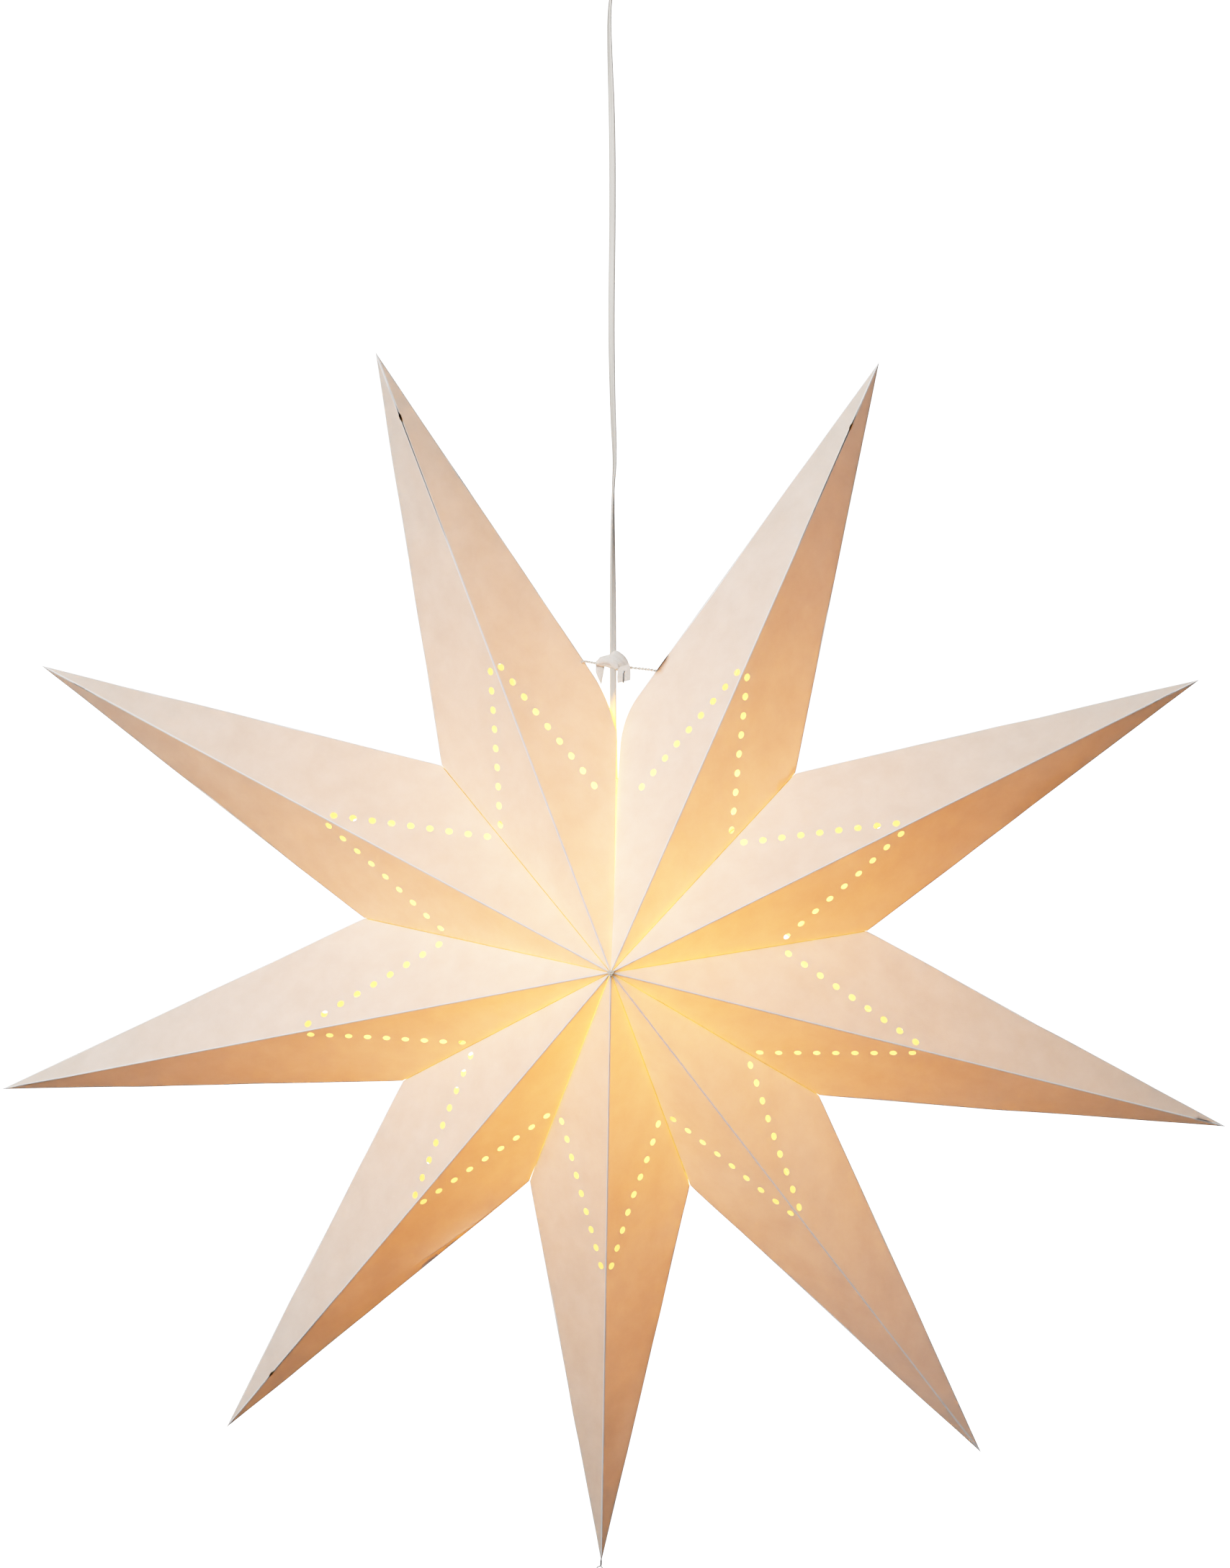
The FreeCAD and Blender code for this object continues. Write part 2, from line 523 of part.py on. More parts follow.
# ---------------------------------------------------------------- the cord grip with its hanging eye
# Moulded nylon: an eye over a block; the flex lies in the block's bore under a screwed saddle.
eye = solid_of("Cylinder", "eye_outside", at=(0, 2, 0), turn=Rotation(Vector(1, 0, 0), 90),
               Radius="@eye_outside / 2", Height="@eye_thickness")
stem = solid_of("Box", "grip_stem", at=(-5, -2, -12), Length="10", Width="4", Height="6")
block = solid_of("Box", "grip_block", at=(-9, -6, -35), Length="18", Width="12", Height="23.5")
grip_raw = boolean("MultiFuse", "grip_raw", eye, [stem, block])
eye_bore = solid_of("Cylinder", "eye_bore_tool", at=(0, 6, 0), turn=Rotation(Vector(1, 0, 0), 90),
                    Radius="@eye_bore / 2", Height="12")
flex_bore = solid_of("Cylinder", "grip_flex_bore", at=(0, 0, -36), Radius="@flex_width / 2 + 0.05",
                     Height="20")
lead_channel = solid_of("Box", "grip_lead_channel", at=(-10, -3.6, -16.5), Length="12.6", Width="7.2",
                        Height="3.9")
window = solid_of("Box", "grip_saddle_window", at=(-7, -7, -31), Length="14", Width="4.2", Height="10")
cutters = boolean("MultiFuse", "grip_cutters", eye_bore, [flex_bore, window, lead_channel])
keep("cord_grip", boolean("Cut", "grip_cut", grip_raw, cutters), z="0")
saddle = solid_of("Box", "saddle_solid", at=(-6.8, -6.6, -30.8), Length="13.6", Width="3.7", Height="9.6")
keep("grip_saddle", saddle, x="-6.8", z="-30.8")
front = Rotation(Vector(1, 0, 0), 90)
saddle_pair = [rod("saddle_screw", 12, "1.7", "1.1", at=(s * 4.4, -6.62, -26), turn=front) for s in (-1, 1)]
keep("saddle_screws", pair("saddle_screw_pair", *saddle_pair), z="0")

# ---------------------------------------------------------------- terminal block and leads
# Two-pole screw connector on the side of the grip: a bore for each wire, right through, and a screw on top.
body_box = solid_of("Box", "terminal_box", at=(-25.5, -7, -21), Length="16.3", Width="14", Height="11.5")
wire_bores = [solid_of("Box", "terminal_bore", at=(-26, y - 1.5, -16.5), Length="18", Width="3", Height="3")
              for y in (-3, 3)]
wells = [solid_of("Box", "terminal_well", at=(-19.2, y - 1.8, -14), Length="3.6", Width="3.6", Height="5")
         for y in (-3, 3)]
both_bores = boolean("MultiFuse", "wire_bores", wire_bores[0], wire_bores[1:])
both_wells = boolean("MultiFuse", "screw_wells", wells[0], wells[1:])
pierced = boolean("Cut", "terminal_pierced", body_box, both_bores)
keep("terminal_block", boolean("Cut", "terminal_cut", pierced, both_wells), z="0")
terminal_pair = [rod("terminal_screw", 12, "1.7", "2.6", at=(-17.4, y, -13.5)) for y in (-3, 3)]
keep("terminal_screws", pair("terminal_screw_pair", *terminal_pair), z="0")

lead_pair = []
for sign in (-1, 1):
    run = Vector(-13.4, sign * 1.6, 0.4)
    lead_pair.append(rod("lamp_lead", 8, "0.85", str(run.Length), at=(0.4, sign * 1.3, -15.55),
                         turn=Rotation(Vector(0, 0, 1), run)))
leads = pair("lamp_lead_pair", *lead_pair)
keep("lamp_leads", leads, z="0")

# ---------------------------------------------------------------- the ceiling cup
# White moulded cup: a straight wall that rounds into a short neck round the flex.
cup_outside = many_sided("cup_outside", 32, [
    ("6", "-@cup_outlet"), ("6", "-43.6"), ("@cup_radius - 8", "-38.6"), ("@cup_radius", "-25"),
    ("@cup_radius", "@cup_rim"),
])
cup_inside = many_sided("cup_inside", 32, [
    ("@flex_width / 2 + 0.3", "-@cup_outlet - 1"), ("@flex_width / 2 + 0.3", "-42.1"),
    ("@cup_radius - 9.2", "-37"), ("@cup_radius - @cup_wall", "-24.4"),
    ("@cup_radius - @cup_wall", "@cup_rim + 1"),
])
keep("ceiling_cup", boolean("Cut", "ceiling_cup_shell", cup_outside, cup_inside), z="0")

# ---------------------------------------------------------------- write
doc.recompute()
for obj in doc.Objects:
    if "Invalid" in obj.State or "Error" in obj.State:
        raise SystemExit(f"{obj.Name} failed: {obj.State}")
os.makedirs("parts", exist_ok=True)
for name, obj in parts.items():
    shape = obj.Shape
    if shape.isNull() or not shape.isValid() or not shape.Solids:
        raise SystemExit(f"{name} has no valid solid")
    shape.exportStep(f"parts/{name}.step")
    print(f"{name:16s} {len(shape.Solids)} solid(s) {shape.Volume:10.1f} mm3")
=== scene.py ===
"""Folded paper star pendant, lit from within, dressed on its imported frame.

Metres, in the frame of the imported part: the hanging eye at the origin, +Z up, the star's front towards -Y.
"""
import math
import bmesh
import bpy
import numpy as np
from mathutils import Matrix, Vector
from mathutils.geometry import delaunay_2d_cdt


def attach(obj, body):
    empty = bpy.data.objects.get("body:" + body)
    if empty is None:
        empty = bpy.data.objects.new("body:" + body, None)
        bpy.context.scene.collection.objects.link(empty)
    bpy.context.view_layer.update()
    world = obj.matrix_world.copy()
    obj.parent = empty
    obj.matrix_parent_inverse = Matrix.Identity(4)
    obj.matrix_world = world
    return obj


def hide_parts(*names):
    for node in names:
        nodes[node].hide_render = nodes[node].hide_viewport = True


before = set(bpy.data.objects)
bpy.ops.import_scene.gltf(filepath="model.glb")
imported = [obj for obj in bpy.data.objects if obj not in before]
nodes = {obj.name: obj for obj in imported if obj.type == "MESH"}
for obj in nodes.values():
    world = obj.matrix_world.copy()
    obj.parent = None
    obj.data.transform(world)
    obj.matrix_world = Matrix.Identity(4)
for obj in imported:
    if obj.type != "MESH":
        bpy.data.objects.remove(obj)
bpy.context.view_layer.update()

# ------------------------------------------------------------------------------------------- studio
# A white studio: the camera looks slightly down on the star from the front, a large soft light hangs up on
# the left, and the pale floor lies far below. The object's own bulb gives the warm light.
scene = bpy.context.scene
scene.view_settings.view_transform = "Standard"
# the photograph's soft shoulder: bright tones are drawn together instead of clipped, up to twice white
scene.view_settings.use_curve_mapping = True
shoulder = scene.view_settings.curve_mapping
shoulder.white_level = (2.0, 2.0, 2.0)
for light, shown in ((0.05, 0.1), (0.15, 0.3), (0.275, 0.54), (0.425, 0.74), (0.575, 0.87), (0.75, 0.955)):
    shoulder.curves[3].points.new(light, shown)
shoulder.update()


def placed(name, data):
    """A new object in the scene."""
    made = bpy.data.objects.new(name, data)
    scene.collection.objects.link(made)
    return made


camera_data = bpy.data.cameras.new("camera")
camera = placed("camera", camera_data)
camera_data.lens, camera_data.sensor_width = 73.16, 36.0
camera_data.clip_end = 60.0
camera.location = (0.0736, -2.464, -0.364)
camera.rotation_euler = Vector((-0.0293, 0.992, -0.1229)).to_track_quat("-Z", "Y").to_euler()
scene.camera = camera


def linear(colour):
    """An sRGB colour of six hex digits as linear red, green and blue, with alpha 1."""
    c = np.array([int(colour[i:i + 2], 16) for i in (0, 2, 4)]) / 255
    return (*np.where(c <= 0.04045, c / 12.92, ((c + 0.055) / 1.055) ** 2.4).tolist(), 1.0)


def add(tree, kind, sockets=(), stops=(), **settings):
    """Adds a node with its settings. A socket takes a value, a node, or (node, output). Stops fill a ramp."""
    made = tree.nodes.new("ShaderNode" + kind)
    for name, value in settings.items():
        setattr(made, name, value)
    for name, value in dict(sockets).items():
        if isinstance(value, bpy.types.Node):
            value = (value, 0)
        if isinstance(value, tuple) and isinstance(value[0], bpy.types.Node):
            tree.links.new(value[0].outputs[value[1]], made.inputs[name])
        else:
            made.inputs[name].default_value = value
    for i, (place, value) in enumerate(stops):
        element = made.color_ramp.elements[i] if i < 2 else made.color_ramp.elements.new(place)
        element.position, element.color = place, value
    return made


def finish_of(name):
    """An empty material with its output node."""
    material = bpy.data.materials.new(name)
    material.use_nodes = True
    material.node_tree.nodes.clear()
    return material, material.node_tree


BACKDROP = 2.6  # the strength of the white behind the star, past the end of the shoulder
world = bpy.data.worlds.new("studio")
world.use_nodes = True
world.node_tree.nodes.clear()
scene.world = world
rays = add(world.node_tree, "LightPath")
seen = add(world.node_tree, "Background", {"Color": (1, 1, 1, 1), "Strength": BACKDROP})
fill = add(world.node_tree, "Background", {"Color": (0.96, 0.985, 1, 1), "Strength": 0.085})
both = add(world.node_tree, "MixShader", {0: (rays, "Is Camera Ray"), 1: fill, 2: seen})
add(world.node_tree, "OutputWorld", {"Surface": both})

key_data = bpy.data.lights.new("key", "AREA")
key_data.shape, key_data.size, key_data.size_y = "RECTANGLE", 1.7, 1.3
key_data.energy, key_data.color = 90.0, (1.0, 0.985, 0.965)
KEY_AWAY = 3.0
key = placed("key", key_data)
star_place = Vector((0.0006, 0.0, -0.8))
to_key = Vector((-0.33, -0.80, 0.49)).normalized()
key.location = star_place + to_key * KEY_AWAY
key.rotation_euler = (-to_key).to_track_quat("-Z", "Y").to_euler()

FLOOR = -2.9
floor_mesh = bpy.data.meshes.new("floor")
floor_mesh.from_pydata([(x, y, FLOOR) for x, y in ((-9, -9), (9, -9), (9, 12), (-9, 12))], [], [(0, 1, 2, 3)])
floor = placed("floor", floor_mesh)
floor_paint, tree = finish_of("matt_white_floor_paint")
paint = add(tree, "BsdfPrincipled", {"Base Color": linear("F4F4F2"), "Roughness": 0.8,
                                     "Emission Color": (1, 1, 1, 1), "Emission Strength": BACKDROP})
add(tree, "OutputMaterial", {"Surface": paint})
floor_mesh.materials.append(floor_paint)
floor.visible_diffuse = floor.visible_glossy = floor.visible_transmission = False

# --------------------------------------------------------------------------------------------- flex
# White twin flex, 5.2 mm wide and about half as thick: two stranded cores side by side in soft white PVC.
# The star's weight pulls it straight, and it keeps a slow twist from its coil.


def grid_faces(rows, columns, around=False, along=False):
    """Quads of a grid of points, row by row. around joins the last column to the first, along the last row."""
    i = np.arange(rows if along else rows - 1)
    j = np.arange(columns if around else columns - 1)
    i, j = (a.ravel() for a in np.meshgrid(i, j, indexing="ij"))
    down, right = (i + 1) % rows, (j + 1) % columns
    return np.stack([i * columns + j, i * columns + right, down * columns + right, down * columns + j], 1)


def piece_of(name, points, faces, material, sharp=40.0, uv=None):
    """A mesh object from points and faces. Edges where the surface turns by more than sharp degrees stay hard."""
    mesh = bpy.data.meshes.new(name)
    mesh.from_pydata(np.asarray(points, float).tolist(), [], [list(map(int, f)) for f in faces])
    if uv is not None:
        layer = mesh.uv_layers.new(name="own")
        corners = np.zeros(len(mesh.loops), np.int32)
        mesh.loops.foreach_get("vertex_index", corners)
        layer.data.foreach_set("uv", np.asarray(uv, np.float32)[corners].ravel())
    mesh.materials.append(material)
    mesh.shade_smooth()
    mesh.set_sharp_from_angle(angle=math.radians(sharp))
    return placed(name, mesh)


def swept(name, path, sections, material, sideways=(1, 0, 0)):
    """A closed tube: at each place of the path stands a section, an outline of (across, up) offsets.

    Across is sideways made square to the path, and up is square to both.
    """
    path = np.asarray(path, float)
    along = np.gradient(path, axis=0)
    along /= np.linalg.norm(along, axis=1, keepdims=True)
    across = np.asarray(sideways, float) - along * (along @ np.asarray(sideways, float))[:, None]
    across /= np.linalg.norm(across, axis=1, keepdims=True)
    up = np.cross(across, along)
    sections = np.broadcast_to(sections, (len(path), *np.shape(sections)[-2:]))
    points = path[:, None] + sections[..., :1] * across[:, None] + sections[..., 1:] * up[:, None]
    count = sections.shape[1]
    faces = grid_faces(len(path), count, around=True).tolist()
    faces += [list(range(count))[::-1], list(range((len(path) - 1) * count, len(path) * count))]
    return piece_of(name, points.reshape(-1, 3), faces, material)


def spline_places(name, controls, steps):
    """Places along a smooth NURBS line with these control points, read from the curve itself."""
    curve = bpy.data.curves.new(name, "CURVE")
    curve.dimensions = "3D"
    line = curve.splines.new("NURBS")
    line.points.add(len(controls) - 1)
    line.points.foreach_set("co", np.c_[controls, np.ones(len(controls))].ravel())
    line.order_u = 3
    line.use_endpoint_u = True
    line.resolution_u = steps
    holder = placed(name, curve)
    mesh = bpy.data.meshes.new_from_object(holder.evaluated_get(bpy.context.evaluated_depsgraph_get()))
    places = np.zeros(len(mesh.vertices) * 3)
    mesh.vertices.foreach_get("co", places)
    bpy.data.objects.remove(holder)
    bpy.data.meshes.remove(mesh)
    bpy.data.curves.remove(curve)
    return places.reshape(-1, 3)


def noise(tree, scale, detail, **more):
    """Noise in the piece's own metres. Three scales, one for each axis, draw it out into lines."""
    place = (add(tree, "TexCoord"), "Object")
    if isinstance(scale, tuple):
        place, scale = add(tree, "Mapping", {0: place, "Scale": scale}), 1.0
    return add(tree, "TexNoise", {"Vector": place, "Scale": scale, "Detail": detail, **more})


def between(tree, pattern, low, high, ends=(0.3, 0.7)):
    """A colour that goes from low to high as the pattern goes from one end to the other."""
    return add(tree, "ValToRGB", {0: pattern}, stops=[(ends[0], linear(low)), (ends[1], linear(high))])


def spread(tree, pattern, low, high):
    """A value that goes from low to high as the pattern goes from 0 to 1."""
    return add(tree, "MapRange", {"Value": pattern, "To Min": low, "To Max": high})


def skin(tree, tint, relief, strength, depth, sockets):
    """The finish itself: its tint, its fine relief as a bump of this depth in metres, and its other values."""
    bump = add(tree, "Bump", {"Height": relief, "Strength": strength, "Distance": depth})
    layer = add(tree, "BsdfPrincipled", {"Base Color": tint, "Normal": bump, **sockets})
    add(tree, "OutputMaterial", {"Surface": layer})


# Soft PVC: a satin, slightly milky plastic skin with faint lengthwise drawing lines from the extruder.
flex_pvc, tree = finish_of("white_soft_pvc")
drawn = noise(tree, (900, 900, 12), 2.0)
skin(tree, between(tree, drawn, "CFCCC7", "DFDCD7"), drawn, 0.25, 0.0002,
     {"Roughness": 0.42, "IOR": 1.53, "Subsurface Weight": 0.15, "Subsurface Scale": 0.002,
      "Subsurface Radius": (1.0, 0.9, 0.8)})


def twin_section(turn, wide=0.0026, thick=0.00135):
    """The flex's outline, two round cores side by side, turned about the flex by an angle at each place."""
    t = np.arange(24) / 24 * 2 * np.pi
    across = wide * np.cos(t)
    up = thick * np.sin(t) * (1 - 0.2 * np.exp(-(across / 0.0007) ** 2)) * (1 + 0.1 * np.cos(2 * t))
    c, s = np.cos(turn)[:, None], np.sin(turn)[:, None]
    return np.stack([across * c - up * s, across * s + up * c], -1)


# across and up, from the gland to the grip
flex_route = np.array([(0, -0.706), (-0.0002, -0.672), (-0.0008, -0.610), (-0.0007, -0.560), (-0.0010, -0.480),
                       (-0.0007, -0.440), (0.0009, -0.418), (-0.0009, -0.380), (-0.0021, -0.315),
                       (-0.0010, -0.235), (-0.0012, -0.165), (-0.0034, -0.105), (-0.0036, -0.078),
                       (0, -0.055), (0, -0.036)])
flex_path = spline_places("flex_route", np.insert(flex_route, 1, 0, axis=1), 12)
# Seen from the front the flex is edge on at the top, flat lower down, and edge on once more half-way.
twist_at = [-0.706, -0.640, -0.560, -0.500, -0.445, -0.400, -0.330, -0.235, -0.165, -0.100, -0.060, -0.036]
twist = [178, 176, 168, 140, 92, 45, 18, 8, 15, 55, 85, 90]
turn = np.radians(np.interp(flex_path[:, 2], twist_at, twist))
smoothing = np.hanning(15)[1:-1]
turn = np.convolve(np.pad(turn, len(smoothing) // 2, mode="edge"), smoothing / smoothing.sum(), mode="valid")
flex = swept("flex", flex_path, twin_section(turn), flex_pvc, sideways=(1, 0, 0))
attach(flex, "flex")
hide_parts("power_cord")

# -------------------------------------------------------------------------------------------- points
# Nine folded paper points make the star. Each is one sheet of heavy wove paper: four flat panels, creased
# along two ridges and two side folds, punched with rows of dots, with flaps glued to the next point's.
TIP, VALLEY, DEPTH = 500.0, 198.5, 101.0  # how far tips, inner corners and poles are from the middle, in mm
FLAP, DOT, PAPER = 9.0, 5.8, 0.36  # width of a glue flap, width of a dot, thickness of the sheet, in mm
STEP = 8.0  # spacing of the places along a fold, in mm


def srgb_mix(tree, factor, first, second, **settings):
    """A colour that goes from first to second as factor goes from 0 to 1."""
    return add(tree, "Mix", {0: factor, 6: first, 7: second}, data_type="RGBA", **settings), 2


# Wove paper: matt, cloudy where the fibres lie thicker, with single long fibres. Light goes through it
# warm and amber, most where it is thin. Its creases are painted lighter, a painted highlight of the rounded
# fold, and let less light through. Along a seam a painted glow, paler and letting more light through, stands
# in for light leaking between the glued flaps. The maps folds and edges hold, in millimetres, how far the
# ridge, the seam and the side fold are, and last the share of light that the panel lets through: painted
# light, set by how the panel faces the key light and larger towards the tips.
def wove_paper(name, outside):
    """The material of one face of the sheet, the outer or the inner one."""
    material, tree = finish_of(name)
    place = (add(tree, "TexCoord"), "Object")
    folds = add(tree, "SeparateXYZ", {0: add(tree, "UVMap", uv_map="folds")})
    edges = add(tree, "SeparateXYZ", {0: add(tree, "UVMap", uv_map="edges")})
    to_ridge, to_seam, to_side, painted_glow_share = (folds, 0), (folds, 1), (edges, 0), (edges, 1)

    def near(distance, start, end, most=1.0, kind="SMOOTHSTEP"):
        """A share that goes from most to 0 as the distance goes from start to end, in millimetres."""
        return add(tree, "MapRange", {"Value": distance, "From Min": start, "From Max": end, "To Min": most,
                                      "To Max": 0.0}, interpolation_type=kind)

    cloud = noise(tree, 46.0, 5.0, Roughness=0.62)
    fibre_place = add(tree, "Mapping", {0: place, "Scale": (520, 900, 900), "Rotation": (0, 0.5, 0)})
    fibre = add(tree, "TexNoise", {"Vector": fibre_place, "Scale": 1.0, "Detail": 3.0, "Distortion": 1.2})
    crease = add(tree, "Math", {0: near(to_ridge, 0.5, 1.3), 1: near(to_side, 0.3, 1.2)}, operation="MAXIMUM")
    # painted highlight: the sheet's colour turns lighter along the ridge and side-fold creases, standing in for
    # light caught on the rounded folds
    tint_with_crease_highlight = srgb_mix(tree, crease, between(tree, cloud, "E8E3DC", "F1EEE9"), linear("FBFAFA"))
    fine = add(tree, "Math", {0: cloud, 1: fibre}, operation="ADD")
    bump = add(tree, "Bump", {"Height": fine, "Strength": 0.35, "Distance": 0.00018})
    rounding = add(tree, "Bump", {"Height": crease, "Strength": 0.5, "Distance": 0.0003, "Normal": bump},
                   invert=True)
    matt = add(tree, "BsdfPrincipled", {"Base Color": tint_with_crease_highlight, "Roughness": 0.86, "IOR": 1.45,
                                        "Specular IOR Level": 0.25, "Sheen Weight": 0.05, "Normal": rounding})
    if outside:
        # painted glow along the seam: near it the light let through turns pale and its share rises, and within 7
        # mm it turns a brighter amber, standing in for light leaking between the glued flaps
        seam_glow_mask = near(to_seam, 0.12, 0.6)
        through = between(tree, cloud, "C4946C", "D0A176", (0.25, 0.75))
        through = srgb_mix(tree, near(to_seam, 0.0, 7.0, 0.35, "SMOOTHERSTEP"), through, linear("FFC066"))
        through = srgb_mix(tree, seam_glow_mask, through, linear("F6E2B4"))
        through = srgb_mix(tree, crease, through, linear("6A4A33"))
        glow = add(tree, "BsdfTranslucent", {"Color": through, "Normal": bump})
        # painted light: the share is scaled by each panel's painted glow share, set by how the panel faces the
        # key light
        share = add(tree, "Math", {0: spread(tree, seam_glow_mask, 0.22, 0.62), 1: painted_glow_share},
                    operation="MULTIPLY")
        share = add(tree, "Math", {0: crease, 1: -0.2, 2: share}, operation="MULTIPLY_ADD", use_clamp=True)
        paper = add(tree, "MixShader", {0: share, 1: matt, 2: glow})
    else:
        # the sheet's inner face lets light pass outwards to the outer face, which scatters it
        facing = add(tree, "NewGeometry")
        passing = add(tree, "BsdfTransparent")
        paper = add(tree, "MixShader", {0: (facing, "Backfacing"), 1: matt, 2: passing})
    add(tree, "OutputMaterial", {"Surface": paper})
    return material


paper_outside = wove_paper("wove_paper", True)
paper_inside = wove_paper("wove_paper_inner_side", False)
# The cut edge of a dot: torn fibres, whiter than the sheet.
paper_edge, tree = finish_of("cut_paper_edge")
tint = between(tree, noise(tree, 2500.0, 2.0), "F3E7CC", "FFF9EA")
fray = add(tree, "BsdfDiffuse", {"Color": tint, "Roughness": 0.9})
lit = add(tree, "BsdfTranslucent", {"Color": tint})
add(tree, "OutputMaterial", {"Surface": add(tree, "MixShader", {0: 0.5, 1: fray, 2: lit})})


def heading(angle):
    """The direction in the plane of the star at an angle from +X towards +Z, in degrees."""
    return np.array([math.cos(math.radians(angle)), 0.0, math.sin(math.radians(angle))])


def along_line(start, end, spacing):
    """Places from start up to, not with, end, evenly spaced."""
    start, end = np.asarray(start, float), np.asarray(end, float)
    count = max(2, round(np.linalg.norm(end - start) / spacing))
    return start + (end - start) * (np.arange(count) / count)[:, None]


def soft_step(x):
    """0 below 0, 1 above 1, and smooth in between."""
    x = np.clip(x, 0, 1)
    return x * x * (3 - 2 * x)


def waviness(places, seed, wavelengths=(150, 95, 60, 38), heights=(1.0, 0.55, 0.3, 0.12)):
    """A gentle random surface: plane waves of several lengths, each in its own direction and phase."""
    dice = np.random.default_rng(seed)
    total = np.zeros(len(places))
    for length, height in zip(wavelengths, heights):
        for _ in range(3):
            turn, phase = dice.uniform(0, 2 * math.pi, 2)
            way = np.array([math.cos(turn), math.sin(turn)])
            total += height / 3 * np.sin(places @ way * 2 * math.pi / length + phase)
    return total


# The two free sides by the opening at the top: three places on the rounded corner, then the strand's hole in
# the back panel, in millimetres right and up from the middle of the star.
CORNERS = {1: ((-14.7, 213.0), (-6.9, 197.0), (1.5, 172.0), (-26.7, 223.8)),
           2: ((19.9, 202.4), (10.9, 187.0), (4.9, 164.0), (35.0, 216.6))}


def free_edge(number, front):
    """The free side from its rounded corner down to the pole: straight, but in front it bows near the pole.

    Across, at each height: the edge's own line, plus the gap times sin^2 between 4 and 46 mm.
    """
    z = np.r_[np.linspace(CORNERS[number][2][1], 50, 14), np.linspace(46, 2, 23)]
    if number == 1:
        x = np.interp(z, [0, 4, 46, 130, 172], [0.0, -0.6, 1.4, 1.7, 1.5])
        gap = -1.9
    else:
        x = np.interp(z, [0, 4, 46, 128, 141, 164], [0.0, 0.3, 2.4, 2.7, 3.9, 4.9])
        gap = 2.2
    bow = gap * np.sin(np.pi * np.clip((z - 4) / 42, 0, 1)) ** 2
    return np.stack([x + (bow if front else 0), z], 1)


# The wrinkle by point 7's lower side fold: how far along the fold from the inner corner, how far from the
# fold, and how high, in millimetres.
CURL = np.array([(0.070, 2.2, 0.0), (0.10, 3.4, 1.2), (0.14, 5.0, 2.4), (0.17, 5.6, 2.6), (0.20, 6.4, 2.7),
                 (0.23, 7.6, 2.6), (0.26, 7.2, 2.2), (0.29, 8.2, 1.8), (0.33, 9.6, 1.1), (0.38, 11.0, 0.0)])


def corner_arc(start, middle, end):
    """Eleven places on the circle through three places, from start to end."""
    a, b, c = (complex(*p) for p in (start, middle, end))
    w = (c - a) / (b - a)
    centre = (b - a) * (w - abs(w) ** 2) / (2j * w.imag) + a
    turn = np.unwrap(np.angle(np.array([a, b, c]) - centre))
    angles = np.linspace(turn[0], turn[2], 11)
    arc = centre + abs(a - centre) * np.exp(1j * angles)
    return np.stack([arc.real, arc.imag], 1)


